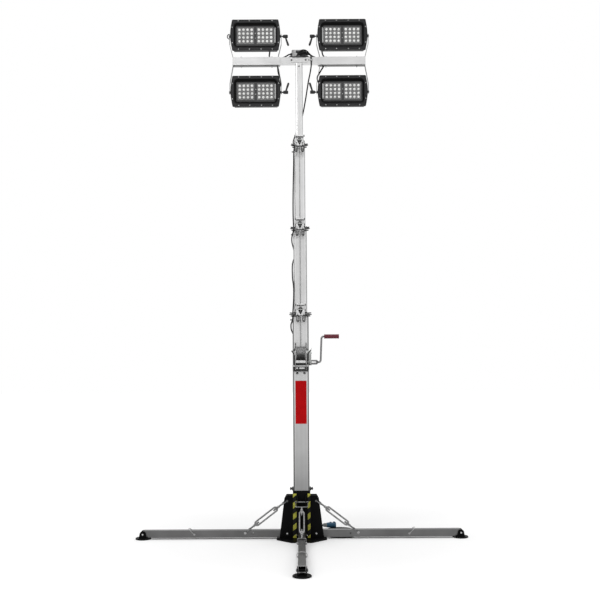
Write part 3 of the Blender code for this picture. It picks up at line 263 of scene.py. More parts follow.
def shaded(material, factor):
    # Its base colour multiplied by one more factor
    tree = material.node_tree
    base = tree.nodes["Principled BSDF"].inputs["Base Color"]
    tree.links.new(multiplied(tree, base.links[0].from_socket, factor), base)
    return material


def shadedSectionMetal(name, dark, light, half, edge=0.5, darkerBelow=None):
    # A mast tube's faces: painted shade in a darker rounded strip along each corner, a painted highlight line just
    # inside it, and the middle of each face a little darker
    material = drawnMetal(name, dark, light, "Z")
    tree = material.node_tree
    x, y, z = axesOf(tree)
    nearer = mathStep(tree, "MINIMUM", mathStep(tree, "ABSOLUTE", x), mathStep(tree, "ABSOLUTE", y))
    shaded(material, rampOf(tree, mathStep(tree, "DIVIDE", nearer, half), (0.0, 0.88), (0.3, 0.94), (0.6, 0.9),
                            (0.72, 1.0), (0.8, 1.0), (0.86, edge), (0.98, edge)))
    if darkerBelow:  # darker towards the ground
        reach = {"Value": z, "From Min": 0.35, "From Max": 1.45, "To Min": darkerBelow}
        shaded(material, addNode(tree, "MapRange", reach).outputs["Result"])
    return material


def facingShadedMetal(name, dark, light, axis, low, high, roughness=(0.26, 0.42), signed=False):
    # Painted light and shade: the base colour is set by how far the surface faces along one axis of the world,
    # imitating how bright round steel looks indoors
    material = platedMetal(name, dark, light, roughness, 0.0)
    tree = material.node_tree
    facing = axesOf(tree, addNode(tree, "NewGeometry").outputs["Normal"])[axis]
    facing = mathStep(tree, "MULTIPLY_ADD", facing, 0.5, 0.5) if signed else mathStep(tree, "ABSOLUTE", facing)
    return shaded(material, rampOf(tree, facing, low, high))


def collarMetal():
    # Bright plates, with the wire guides beyond the cheeks left dull and dark
    guides = {"cheek": 0.032, "wire": 0.0335, "dull": 0.1}
    material = platedMetal("collar", 0.5, 0.7, (0.24, 0.4))
    side = mathStep(material.node_tree, "ABSOLUTE", axesOf(material.node_tree)["X"])
    return shaded(material, rampOf(material.node_tree, side, (guides["cheek"], 1.0),
                                   (guides["wire"], guides["dull"])))


def tapeMetal():
    # Slanting stripes, yellow on black, a little worn
    stripe = {"pitch": 0.0824, "share": 0.54, "slope": 0.75, "start": 0.0315, "soft": 0.03,
              "yellow": (0.5, 0.49, 0.075), "black": 0.004, "dirt": 0.55}
    material, tree, shader = nodeMaterial("tape")
    x, y, z = axesOf(tree)
    rise = mathStep(tree, "SUBTRACT", z, mathStep(tree, "MULTIPLY", x, stripe["slope"]))
    turns = mathStep(tree, "DIVIDE", mathStep(tree, "SUBTRACT", rise, stripe["start"]), stripe["pitch"])
    colour = rampOf(tree, mathStep(tree, "FRACT", turns), (0.0, stripe["black"]), (stripe["soft"], stripe["yellow"]),
                    (stripe["share"] - stripe["soft"], stripe["yellow"]), (stripe["share"], stripe["black"]))
    worn = noiseAt(tree, 60.0, detail=5.0, rough=0.6)
    feed(tree, shader, {
        "Base Color": multiplied(tree, colour, rampOf(tree, worn, (0.3, stripe["dirt"]), (0.6, 1.0))),
        "Roughness": 0.45, "Specular IOR Level": 0.15, "Normal": bumpOf(tree, worn, 0.1, 0.0003)})
    return material


look = {
    # Mast tubes: painted shade along the corners with a painted highlight line beside it; the lowest tube is also
    # darker towards the ground
    "tube1": shadedSectionMetal("tube1", 0.54, 0.64, tubeHalf[0], 0.32, 0.52),
    "tube2": shadedSectionMetal("tube2", 0.58, 0.68, tubeHalf[1]),
    "tube3": shadedSectionMetal("tube3", 0.62, 0.72, tubeHalf[2]),
    "tube4": shadedSectionMetal("tube4", 0.62, 0.72, tubeHalf[3]),
    "collar": collarMetal(),
    "blackened": platedMetal("blackened", 0.025, 0.06, (0.3, 0.45)),
    "boltGrey": platedMetal("boltGrey", 0.06, 0.12, (0.26, 0.42)),
    "legX": drawnMetal("legX", 0.11, 0.16, "X", (0.34, 0.5), 0.3),
    "legY": drawnMetal("legY", 0.12, 0.18, "Y", (0.34, 0.5), 0.3),
    "beam": drawnMetal("beam", 0.52, 0.62, "X"),
    "zinc": platedMetal("zinc", 0.26, 0.42),
    "darkZinc": platedMetal("darkZinc", 0.1, 0.2),
    "strap": platedMetal("strap", 0.1, 0.18),
    "linerBlack": coated("linerBlack", 0.003, 0.02, 700.0, shine=0.06),
    "lampRim": coated("lampRim", (0.009, 0.009, 0.01), 0.1, 700.0, shine=0.2),
    "board": coated("board", 0.16, 0.24, 500.0, (0.35, 0.5)),
    "lens": coated("lens", (0.74, 0.74, 0.73), 0.9, 300.0, (0.12, 0.22), 0.05),
    "reflector": platedMetal("reflector", 0.3, 0.45, (0.14, 0.24)),
    "blackCoat": coated("blackCoat", (0.003, 0.003, 0.0032), 0.03, wear=0.2, shine=0.05),
    "blackPlastic": coated("blackPlastic", (0.012, 0.012, 0.013), 0.07, 700.0),
    "grip": coated("grip", (0.105, 0.012, 0.022), (0.3, 0.08, 0.09), 500.0, (0.3, 0.42)),
    "sheath": coated("sheath", 0.005, 0.02, 1200.0, (0.42, 0.55), shine=0.15),
    "gearCase": coated("gearCase", (0.42, 0.43, 0.42), 0.62, 400.0, (0.34, 0.48)),
    "rope": platedMetal("rope", 0.12, 0.26, (0.35, 0.5)),
    # Painted shade on the wound rope's underside, lighter on its top
    "woundRope": facingShadedMetal("woundRope", 0.15, 0.3, "Z", (0.42, 0.28), (0.62, 1.0), (0.4, 0.6), True),
    # Painted light and shade on the brace bars, by which way they face
    "brace": facingShadedMetal("brace", 0.15, 0.25, "Y", (0.45, 0.35), (0.75, 1.0)),
    "brightPlate": platedMetal("brightPlate", 0.46, 0.62, (0.24, 0.38), 0.2),
    # Painted highlight round the middle of the hub sleeve, painted shade above and below
    "hub": facingShadedMetal("hub", 0.5, 0.66, "Z", (0.35, 1.0), (0.5, 0.16)),
    "glandGrey": coated("glandGrey", (0.16, 0.17, 0.17), 0.3, 600.0),
    # Painted light and shade on the crank, by which way it faces
    "crank": facingShadedMetal("crank", 0.1, 0.18, "Y", (0.45, 0.4), (0.8, 1.0)),
    "patchRed": coated("patchRed", (0.42, 0.004, 0.0055), (0.44, 0.01, 0.01), 1500.0, (0.34, 0.46), 0.05, 0.0, 0.04),
    "tape": tapeMetal(),
    "bluePlug": coated("bluePlug", (0.016, 0.07, 0.13), (0.08, 0.2, 0.28), 600.0, (0.3, 0.42)),
    "panel": coated("panel", (0.045, 0.045, 0.046), 0.08, 600.0, (0.3, 0.4)),
}

nodeLook = {
    "mast_1": "tube1", "mast_2": "tube2", "mast_3": "tube3", "mast_4": "tube4",
    "base_plate": "blackCoat", "base_frame": "blackCoat", "winch_frame": "zinc", "winch_drum": "rope",
    "winch_gear_case": "gearCase", "winch_crank": "crank", "crank_grip": "grip", "crossbar": "beam",
    "junction_box": "blackPlastic", "cable_plug": "bluePlug",
    "leg_right": "legX", "leg_left": "legX", "leg_back": "legY", "leg_front": "legY",
}
kindLook = {  # by the first word of the node's name
    "leg": "blackened", "foot": "blackCoat", "brace": "brace", "collar": "collar", "sheave": "blackPlastic",
    "rope": "rope", "yoke": "strap", "lamp": "blackPlastic", "led": "panel", "cable": "sheath",
}
for node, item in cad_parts.items():
    item.data.materials.clear()
    item.data.materials.append(look[nodeLook.get(node) or kindLook[node.split("_")[0]]])
stageReport("materials")


# Mesh helpers: every shape is added to one bmesh of a piece, in the frame's metres
def newPiece(name, bm, material, body, bevel=0.0, smooth=True):
    mesh = bpy.data.meshes.new(name)
    bmesh.ops.recalc_face_normals(bm, faces=bm.faces)
    bm.to_mesh(mesh)
    bm.free()
    piece = bpy.data.objects.new(name, mesh)
    bpy.context.scene.collection.objects.link(piece)
    mesh.materials.append(look[material])
    if bevel:
        rounding = piece.modifiers.new("rounding", "BEVEL")
        rounding.width = bevel
        rounding.segments = 2
        rounding.limit_method = "ANGLE"
    if smooth:
        mesh.shade_smooth()
        mesh.set_sharp_from_angle(angle=math.radians(38))
    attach(piece, body)
    return piece


def addRod(bm, start, end, radius, sides=12, endRadius=None):
    start, end = Vector(start), Vector(end)
    turn = (end - start).to_track_quat("Z", "Y").to_matrix().to_4x4()
    matrix = Matrix.Translation((start + end) / 2) @ turn
    bmesh.ops.create_cone(bm, cap_ends=True, segments=sides, radius1=radius,
                          radius2=radius if endRadius is None else endRadius,
                          depth=(end - start).length, matrix=matrix)


def addBlock(bm, low, high):
    low, high = Vector(low), Vector(high)
    matrix = Matrix.Translation((low + high) / 2) @ Matrix.Diagonal((*(high - low), 1))
    bmesh.ops.create_cube(bm, size=1.0, matrix=matrix)


def addPlate(bm, outline, place, thickness, axis="Y"):
    # An outline in X and Z with its thickness along Y, or one in X and Y with its thickness along Z
    def spot(u, v, t):
        return (u, t, v) if axis == "Y" else (u, v, t)

    low = [bm.verts.new(spot(u, v, place)) for u, v in outline]
    high = [bm.verts.new(spot(u, v, place + thickness)) for u, v in outline]
    bm.faces.new(low)
    bm.faces.new(high)
    for i in range(len(outline)):
        j = (i + 1) % len(outline)
        bm.faces.new((low[i], low[j], high[j], high[i]))


def joinLoops(bm, loops, closed=True):
    # A skin over closed rows of points of equal count, from each row to the next
    for a, b in zip(loops, loops[1:] + loops[:1] if closed else loops[1:]):
        for i in range(len(a)):
            j = (i + 1) % len(a)
            bm.faces.new((a[i], a[j], b[j], b[i]))


def addRing(bm, outer, inner, near, far):
    # A frame between two outlines of equal length, facing -Y, its inner edge set back to its own depth
    joinLoops(bm, [[bm.verts.new((u, y, v)) for u, v in line]
                   for line, y in ((outer, far), (outer, near), (inner, near), (inner, far))])


def addBolt(bm, place, direction, radius=0.006, height=0.004, washer=True):
    # Hexagon head on a washer
    place, direction = Vector(place), Vector(direction)
    if washer:
        addRod(bm, place, place + direction * height * 0.3, radius * 1.35, 16)
    addRod(bm, place + direction * height * 0.25, place + direction * height, radius, 6)
    addRod(bm, place + direction * height, place + direction * height * 1.2, radius * 0.86, 6, radius * 0.6)


def circlePoints(centre, radius, start, end, steps):
    points = []
    for i in range(steps + 1):
        angle = math.radians(start + (end - start) * i / steps)
        points.append((centre[0] + radius * math.cos(angle), centre[1] + radius * math.sin(angle)))
    return points


def roundedOutline(halfU, halfV, radius, steps=6, centre=(0, 0)):
    points = []
    for su, sv, start in ((1, 1, 0), (-1, 1, 90), (-1, -1, 180), (1, -1, 270)):
        corner = (centre[0] + su * (halfU - radius), centre[1] + sv * (halfV - radius))
        points += circlePoints(corner, radius, start, start + 90, steps)
    return points


def newCable(name, points, radius, material, body, steps=6):
    # A smooth tube through the given points
    data = bpy.data.curves.new(name, "CURVE")
    data.dimensions = "3D"
    data.resolution_u = steps
    data.bevel_depth = radius
    data.bevel_resolution = 4
    data.use_fill_caps = True
    spline = data.splines.new("BEZIER")
    spline.bezier_points.add(len(points) - 1)
    for point, place in zip(spline.bezier_points, points):
        point.co = place
        point.handle_left_type = point.handle_right_type = "AUTO"
    piece = bpy.data.objects.new(name, data)
    bpy.context.scene.collection.objects.link(piece)
    data.materials.append(look[material])
    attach(piece, body)
    return piece


# The free end of the electric cable: down behind the mast, over the floor, round the coil, to the plug
def makeCord():
    cord = {"radius": 0.005, "coilX": 0.301, "coilY": 0.185, "halfX": 0.109, "halfY": 0.215,
            "pitch": 0.0101, "turns": 5, "pointsPerEnd": 7, "endShare": 0.36, "band": 0.055, "length": 6.85,
            "plugX": 0.166, "plugY": 0.37, "plugRadius": 0.02, "rise": 0.19, "gap": 0.0003}
    radius, gap = cord["radius"], cord["gap"]
    outlet = Vector((0.003 - tubeHalf[0], -0.03 - tubeHalf[0], tubeTop[0] - 0.00665))
    fall = [outlet, outlet - Vector((0, 0, 2 * radius)), (-0.059, -0.085, 1.6355), (-0.0635, -0.067, 1.6192),
            (-0.07, -0.035, 1.6044), (-0.072, 0.005, 1.5857), (-0.07, 0.045, 1.5671), (-0.063, 0.064, 1.5479),
            (-0.05, 0.071, 1.52), (-0.03, 0.072, 1.459), (0.0, 0.072, 1.319), (0.02, 0.072, 1.149),
            (0.044, 0.074, 0.8), (0.049, 0.078, 0.42), (0.055, 0.086, 0.22), (0.072, 0.104, 0.094),
            (0.096, 0.127, 0.04), (0.122, 0.146, 0.018), (0.142, 0.166, 0.0065), (0.16, 0.188, 0.0057),
            (0.176, 0.218, 0.0055), (0.188, 0.256, 0.0052)]
    straight = cord["halfY"] - cord["halfX"]
    ends = ((cord["coilY"] + straight, 180), (cord["coilY"] - straight, 0))  # centre y, first angle
    coil = []
    for halfTurn in range(2 * cord["turns"]):
        centreY, first = ends[halfTurn % 2]
        for i in range(cord["pointsPerEnd"] + 1):
            done = halfTurn / 2 + i / cord["pointsPerEnd"] * cord["endShare"]
            half = cord["halfX"] - radius - cord["pitch"] * done
            angle = math.radians(first - 180 * i / cord["pointsPerEnd"])
            coil.append((cord["coilX"] + half * math.cos(angle), centreY + half * math.sin(angle), radius))
    crest = 3 * radius + gap
    plugZ = 2 * radius + gap + cord["plugRadius"]
    outer = cord["coilX"] - cord["halfX"]
    inner = outer + cord["band"]
    y = cord["rise"]
    lead = [(inner, y - 0.07, radius + 0.0008), (inner, y - 0.03, crest - 0.003), (inner, y, crest),
            (inner - 0.006, y + 0.026, crest), (inner - 0.026, y + 0.052, crest), (outer, y + 0.066, crest),
            (outer - 0.022, y + 0.07, crest), (0.138, 0.264, 0.0075), (0.106, 0.27, 0.0058),
            (0.078, 0.296, 0.0055), (0.073, 0.332, 0.0055), (0.09, 0.361, 0.0065), (0.122, 0.37, 0.015),
            (cord["plugX"] - 0.0103, cord["plugY"], plugZ), (cord["plugX"] - gap, cord["plugY"], plugZ)]
    piece = newCable("electricCable", fall + coil + lead, radius, "sheath", "base")
    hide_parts("cable_tail", "cable_coil", "cable_lead")


makeCord()
stageReport("cord")


# The four lamps: raised rims, bolts, lens boards, levers and the short leads to the crossbar
lampPlans = (  # name, side of the mast, above or below the crossbar, lead from the crossbar to the lamp's back
    ("upper_left", -1, 1, ((-0.208, 0.01, 3.599), (-0.2215, 0.022, 3.616), (-0.222, 0.034, 3.642),
                           (-0.219, 0.04, 3.668), (-0.221, 0.026, 3.69))),
    ("upper_right", 1, 1, ((0.193, 0.01, 3.599), (0.187, 0.022, 3.616), (0.177, 0.034, 3.642),
                           (0.175, 0.04, 3.668), (0.178, 0.026, 3.69))),
    ("lower_left", -1, -1, ((-0.16, 0.01, 3.539), (-0.157, 0.02, 3.5), (-0.14, 0.036, 3.44),
                            (-0.146, 0.047, 3.395), (-0.175, 0.043, 3.365), (-0.19, 0.026, 3.355))),
    ("lower_right", 1, -1, ((0.185, 0.01, 3.539), (0.152, 0.022, 3.489), (0.137, 0.036, 3.462),
                            (0.149, 0.047, 3.427), (0.174, 0.043, 3.386), (0.19, 0.026, 3.362))),
)


def lampOutline(lamp, inset):
    # Straight top and bottom, small corners and sides that bow outwards
    end = lamp["halfW"] - lamp["bow"] - inset
    straight = lamp["halfH"] - lamp["corner"] - inset
    points = []
    for sx, sz, start in ((1, 1, 0), (-1, 1, 90), (-1, -1, 180), (1, -1, 270)):
        points += circlePoints((sx * (end - lamp["corner"]), sz * straight), lamp["corner"], start, start + 90, 4)
        if start in (90, 270):  # down the left side, then up the right one
            for i in range(1, 8):
                z = sz * straight * (1 - i / 4)
                points.append((sx * (end + lamp["bow"] * math.cos(math.pi / 2 * z / straight)), z))
    return points


def addDome(bm, centre, profile, sides=14):
    # A turned button that stands out towards -Y; the profile's columns are radius and height
    rings = []
    for radius, height in profile:
        if radius == 0:
            rings.append([bm.verts.new((centre[0], centre[1] - height, centre[2]))])
        else:
            outline = circlePoints((centre[0], centre[2]), radius, 0, 360, sides)[:-1]
            rings.append([bm.verts.new((x, centre[1] - height, z)) for x, z in outline])
    for a, b in zip(rings, rings[1:]):
        for i in range(sides):
            j = (i + 1) % sides
            bm.faces.new((a[i], a[j], b[0]) if len(b) == 1 else (a[i], a[j], b[j], b[i]))
    bm.faces.new(rings[0][::-1])


def tubeMesh(name, points, radius, material, body):
    # A bent lead as a mesh
    curve = newCable(name + "Line", points, radius, material, body, 5)
    graph = bpy.context.evaluated_depsgraph_get()
    mesh = bpy.data.meshes.new_from_object(curve.evaluated_get(graph))
    bpy.data.objects.remove(curve, do_unlink=True)
    mesh.name = name
    mesh.materials.clear()
    mesh.materials.append(look[material])
    piece = bpy.data.objects.new(name, mesh)
    bpy.context.scene.collection.objects.link(piece)
    return piece


def makeLamp(name, side, level, leadRoute):
    lamp = {"halfW": 0.1875, "halfH": 0.115, "bow": 0.0135, "corner": 0.008, "rim": 0.0055, "rimHeight": 0.0025,
            "boltX": (0.126, 0.044), "boltZ": 0.1062, "sideBoltX": 0.1725, "sideBoltZ": 0.058,
            "bolt": (0.0031, 0.0036), "boardInner": 0.0105, "boardOuter": 0.135, "boardZ": 0.062,
            "pitchX": 0.0306, "pitchZ": 0.029, "firstX": 0.0268, "endZ": 0.056, "endT": 0.0012,
            "hub": 0.206, "hubR": 0.0126, "leverX": 0.017, "leverLean": 0.022, "leverDrop": 0.066, "leverR": 0.0084,
            "leadR": 0.0054}
    lens = ((0.0098, 0.0), (0.0098, 0.0018), (0.0094, 0.0036), (0.0083, 0.0056), (0.0063, 0.007),
            (0.0034, 0.0079), (0.0, 0.0082))  # radius, height
    body = "lamp_" + name
    low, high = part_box("led_panel_" + name)
    x, z = (low[0] + high[0]) / 2, (low[2] + high[2]) / 2
    halfPane = ((high[0] - low[0]) / 2, (high[2] - low[2]) / 2)
    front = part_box(body)[0][1]
    pane = low[1]

    def moved(outline):
        return [(x + u, z + v) for u, v in outline]

    def part(kind, bm, material, bevel=0.0):
        return newPiece(kind + "_" + name, bm, material, body, bevel)

    bm = bmesh.new()  # rib round the bezel's edge and round its window
    addRing(bm, moved(lampOutline(lamp, 0.001)), moved(lampOutline(lamp, lamp["rim"])),
            front - lamp["rimHeight"], front + 0.0004)
    addRing(bm, moved(roundedOutline(halfPane[0] + 0.006, halfPane[1] + 0.005, 0.03, 8)),
            moved(roundedOutline(halfPane[0] - 0.0002, halfPane[1] - 0.0002, 0.0255, 8)),
            front - lamp["rimHeight"] * 0.8, front + 0.0004)
    part("bezelRim", bm, "lampRim", 0.0008)

    bm = bmesh.new()  # sloping liner between the window's edge and the boards
    outer = moved(roundedOutline(halfPane[0] - 0.0004, halfPane[1] - 0.0004, 0.0254, 8))
    middle = moved(roundedOutline(halfPane[0] - 0.006, halfPane[1] - 0.006, 0.021, 8))
    inner = moved(roundedOutline(0.147, 0.074, 0.012, 8))
    joinLoops(bm, [[bm.verts.new((u, y, v)) for u, v in line]
                   for line, y in ((outer, pane - 0.0002), (outer, front + 0.003), (middle, front + 0.003),
                                   (inner, pane - 0.001), (inner, pane - 0.0002))])
    part("windowLiner", bm, "linerBlack")

    bm = bmesh.new()
    for end in (-1, 1):
        across = sorted((x + end * lamp["boardInner"], x + end * lamp["boardOuter"]))
        addBlock(bm, (across[0], pane - 0.0016, z - lamp["boardZ"]), (across[1], pane - 0.0001, z + lamp["boardZ"]))
    part("lensBoards", bm, "board")

    bm = bmesh.new()  # two boards of four by four lenses
    for end in (-1, 1):
        for i in range(4):
            for j in range(4):
                place = (x + end * (lamp["firstX"] + i * lamp["pitchX"]), pane - 0.0015,
                         z + (j - 1.5) * lamp["pitchZ"])
                addDome(bm, place, lens)
    part("lenses", bm, "lens")

    bm = bmesh.new()  # bright end wall of the reflector, on the side of the mast
    foot, head, thick = x - side * 0.1385, x - side * 0.15, side * lamp["endT"]
    addPlate(bm, [(foot, pane - 0.0004), (head, front + 0.006), (head - thick, front + 0.006),
                  (foot - thick, pane - 0.0004)], z - lamp["endZ"], 2 * lamp["endZ"], "Z")
    part("reflectorEnd", bm, "reflector")

    bm = bmesh.new()
    bolts = [(bx, lamp["boltZ"]) for bx in lamp["boltX"]] + [(lamp["sideBoltX"], lamp["sideBoltZ"])]
    for sz in (-1, 1):
        for sx in (-1, 1):
            for bx, bz in bolts:
                addBolt(bm, (x + sx * bx, front, z + sz * bz), frontWay, *lamp["bolt"])
        addBolt(bm, (x, pane, z + sz * 0.018), frontWay, 0.0028, 0.003)
    part("bezelBolts", bm, "zinc")

    bm = bmesh.new()  # moulded sleeve of the clamp lever and the cap on its hub
    start = Vector((x - side * (lamp["hub"] + lamp["leverX"]), 0, z))
    end = start - Vector((side * lamp["leverLean"], 0, level * lamp["leverDrop"]))
    addRod(bm, start.lerp(end, 0.16), start.lerp(end, 0.94), 0.006, 14, lamp["leverR"])
    addRod(bm, start.lerp(end, 0.94), start.lerp(end, 1.06), lamp["leverR"], 14, 0.0058)
    for near, far, nearR, farR in ((-0.001, 0.01, 0.01, lamp["hubR"]), (0.01, 0.033, lamp["hubR"], lamp["hubR"]),
                                   (0.033, 0.037, lamp["hubR"], 0.009)):
        addRod(bm, (x - side * (lamp["hub"] + near), 0, z), (x - side * (lamp["hub"] + far), 0, z), nearR, 16, farR)
    part("clampLever", bm, "blackPlastic", 0.0006)

    lead = tubeMesh("lampLead_" + name, leadRoute, lamp["leadR"], "sheath", "head")
    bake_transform(lead)
    bm = bmesh.new()  # gland where the lead enters the housing
    tip = Vector(leadRoute[-1])
    inward = (tip - Vector(leadRoute[-2])).normalized()
    addRod(bm, tip - inward * 0.014, tip + inward * 0.004, 0.0058, 14, 0.0085)
    part("leadGland", bm, "blackPlastic")


for lampPlan in lampPlans:
    makeLamp(*lampPlan)
stageReport("lamps")


# The head: face strip and bracket, bolts, box, the cables that fan out of it and a half ring on one lamp
def makeHead():
    head = {"faceX": 0.141, "faceZ": (3.561, 3.588), "faceT": 0.0024, "yokeBolts": (0.202, 0.432),
            "bracketX": (-0.058, 0.06), "bracketZ": (3.556, 3.593), "bracketBolts": (-0.0552, 0.04968),
            "smallBolts": (0.074, 0.093), "boltZ": 3.5745, "boxX": 0.054, "boxY": 0.035, "cableRadius": 0.005,
            "ringOut": 0.193, "ringR": 0.018, "ringWire": 0.0034,
            "glandZ": (3.612, 3.63), "glandR": (0.0095, 0.0068), "lockZ": 3.527}
    low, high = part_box("crossbar")
    boxLow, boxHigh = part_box("junction_box")
    middleFront = -0.0215
    middleTop = boxLow[2] - 0.0003

    def upright(name, across, heights, place, thickness, bevel):
        bm = bmesh.new()
        (left, right), (foot, crest) = across, heights
        addPlate(bm, [(left, foot), (right, foot), (right, crest), (left, crest)], place, thickness)
        newPiece(name, bm, "beam", "head", bevel)

    upright("crossbarFace", (-head["faceX"], head["faceX"]), head["faceZ"], middleFront + 0.0002, head["faceT"],
            0.0005)
    upright("crossbarBracket", head["bracketX"], head["bracketZ"], middleFront - 0.003, 0.0028, 0.0008)

    bm = bmesh.new()
    for bx in head["bracketBolts"]:
        addBolt(bm, (bx, middleFront - 0.003, head["boltZ"]), frontWay, 0.0052, 0.005)
    for bx in head["smallBolts"]:
        addBolt(bm, (bx, middleFront, head["boltZ"]), frontWay, 0.0034, 0.0036)
    addBolt(bm, (0.0, -tubeHalf[3], head["lockZ"]), frontWay, 0.0042, 0.004)  # locks the crossbar on the tube
    newPiece("crossbarBolts", bm, "darkZinc", "head")

    bm = bmesh.new()  # bolts and nuts that hold the yokes, above and below each end
    for side in (-1, 1):
        for bx in head["yokeBolts"]:
            for face, way in ((high[2] + 0.0033, 1), (low[2] - 0.0034, -1)):
                addBolt(bm, (side * bx, 0, face - way * 0.0002), (0, 0, way), 0.0072, 0.006)
                addRod(bm, (side * bx, 0, face), (side * bx, 0, face + way * 0.009), 0.004, 12)
    newPiece("yokeBolts", bm, "zinc", "head")

    bm = bmesh.new()  # open bracket in front of the box, cut on a slant
    addPlate(bm, [(-0.05, middleTop + 0.0004), (0.006, middleTop + 0.0004), (-0.024, middleTop + 0.03),
                  (-0.02, boxHigh[2] - 0.004), (-0.05, boxHigh[2] - 0.004)], -head["boxY"] - 0.0026, 0.0024)
    addPlate(bm, [(-0.05, boxHigh[2] - 0.006), (0.05, boxHigh[2] - 0.006), (0.05, boxHigh[2] - 0.002),
                  (-0.05, boxHigh[2] - 0.002)], -head["boxY"] - 0.003, 0.0028)
    newPiece("boxBracket", bm, "zinc", "head", 0.0005)

    bm = bmesh.new()  # lid and glands of the box
    for gx, reaches in ((-1, (0.016, 0.012)), (1, (0.016, 0.014))):
        for gz, reach in zip(head["glandZ"], reaches):
            start = Vector((gx * head["boxX"], 0.004, gz))
            end = start + Vector((gx * reach, 0, -reach * 0.35))
            addRod(bm, start, end, head["glandR"][0], 12, head["glandR"][1])
    lidX = head["boxX"] - 0.004
    addBlock(bm, (-lidX, -0.022, boxHigh[2] - 0.0002), (lidX, 0.022, boxHigh[2] + 0.003))
    newPiece("boxGlands", bm, "blackPlastic", "head", 0.001)

    r = head["cableRadius"]
    routes = {
        "boxCableLeftUpper": ((-0.064, 0.004, 3.627), (-0.076, 0.002, 3.624), (-0.092, 0.0, 3.614),
                              (-0.108, -0.004, 3.604), (-0.12, -0.006, middleTop + r * 0.4)),
        "boxCableLeftLower": ((-0.067, 0.004, 3.608), (-0.078, 0.008, 3.605), (-0.092, 0.01, 3.602),
                              (-0.104, 0.012, middleTop + r * 0.4)),
        "boxCableRightUpper": ((0.064, 0.004, 3.627), (0.078, 0.0, 3.623), (0.096, -0.002, 3.612),
                               (0.112, -0.004, 3.604), (0.124, -0.006, middleTop + r * 0.4)),
        "boxCableRightLower": ((0.067, 0.004, 3.608), (0.08, 0.01, 3.606), (0.096, 0.012, 3.603),
                               (0.106, 0.014, middleTop + r * 0.4)),
        "boxCableLoop": ((-0.012, -0.0375, 3.606), (-0.002, -0.042, 3.618), (0.012, -0.044, 3.633),
                         (0.034, -0.044, 3.64), (0.058, -0.042, 3.633), (0.074, -0.038, 3.618),
                         (0.086, -0.033, 3.606), (0.0905, -0.03, 3.59), (0.092, -0.0285, 3.57),
                         (0.092, -0.026, 3.554), (0.0918, -0.015, 3.543), (0.0912, -0.004, 3.536)),
        "boxCableSecondLoop": ((-0.018, -0.0375, 3.602), (0.002, -0.043, 3.608), (0.02, -0.046, 3.62),
                               (0.044, -0.046, 3.624), (0.068, -0.04, 3.614), (0.092, -0.026, 3.606),
                               (0.108, -0.015, middleTop + r * 0.5)),
    }
    for name, route in routes.items():
        newCable(name, route, r, "sheath", "head")

    bm = bmesh.new()  # clip of the mast's cable on the crossbar
    addBlock(bm, (0.083, middleFront - 0.002, 3.566), (0.101, middleFront + 0.0002, 3.581))
    addRod(bm, (0.092, -0.0283, 3.566), (0.092, -0.0283, 3.578), 0.0068, 14)
    newPiece("cableClip", bm, "zinc", "head", 0.0006)

    bm = bmesh.new()  # half ring on the outer arm of the upper left yoke
    paneLow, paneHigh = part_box("led_panel_upper_left")
    centre = ((paneLow[0] + paneHigh[0]) / 2 - head["ringOut"], (paneLow[2] + paneHigh[2]) / 2)
    ring = [Vector((x, 0.0, z)) for x, z in circlePoints(centre, head["ringR"], 270, 90, 12)]
    for a, b in zip(ring, ring[1:]):
        addRod(bm, a, b + (b - a) * 0.15, head["ringWire"], 10)
    newPiece("armRing", bm, "blackened", "head")


makeHead()
stageReport("head")


# Rings and links of round wire
def addTorus(bm, centre, radius, wire, axis="Z", start=0.0, end=360.0, steps=28, sides=8):
    # Closed, or an open turn from one angle to another
    closed = end - start > 359.9
    rows = []
    for i in range(steps if closed else steps + 1):
        angle = math.radians(start + (end - start) * i / steps)
        row = []
        for away, w in circlePoints((radius, 0), wire, 0, 360, sides)[:-1]:
            u, v = away * math.cos(angle), away * math.sin(angle)
            row.append(bm.verts.new(Vector(centre) + Vector({"X": (w, u, v), "Z": (u, v, w)}[axis])))
        rows.append(row)
    joinLoops(bm, rows, closed)
    if not closed:
        bm.faces.new(rows[0])
        bm.faces.new(rows[-1])


def addOval(bm, centre, halfU, halfV, wire, sides=8):
    # An upright link of round wire across Y: two half turns and two straight sides
    path = circlePoints((0, halfV - halfU), halfU, 0, 180, 8) + circlePoints((0, halfU - halfV), halfU, 180, 360, 8)
    rows = []
    for i, (u, v) in enumerate(path):
        before, after = Vector(path[i - 1]), Vector(path[(i + 1) % len(path)])
        along = (after - before).normalized()
        rows.append([bm.verts.new(Vector(centre) + Vector((u + along.y * out, w, v - along.x * out)))
                     for out, w in circlePoints((0, 0), wire, 0, 360, sides)[:-1]])
    joinLoops(bm, rows)
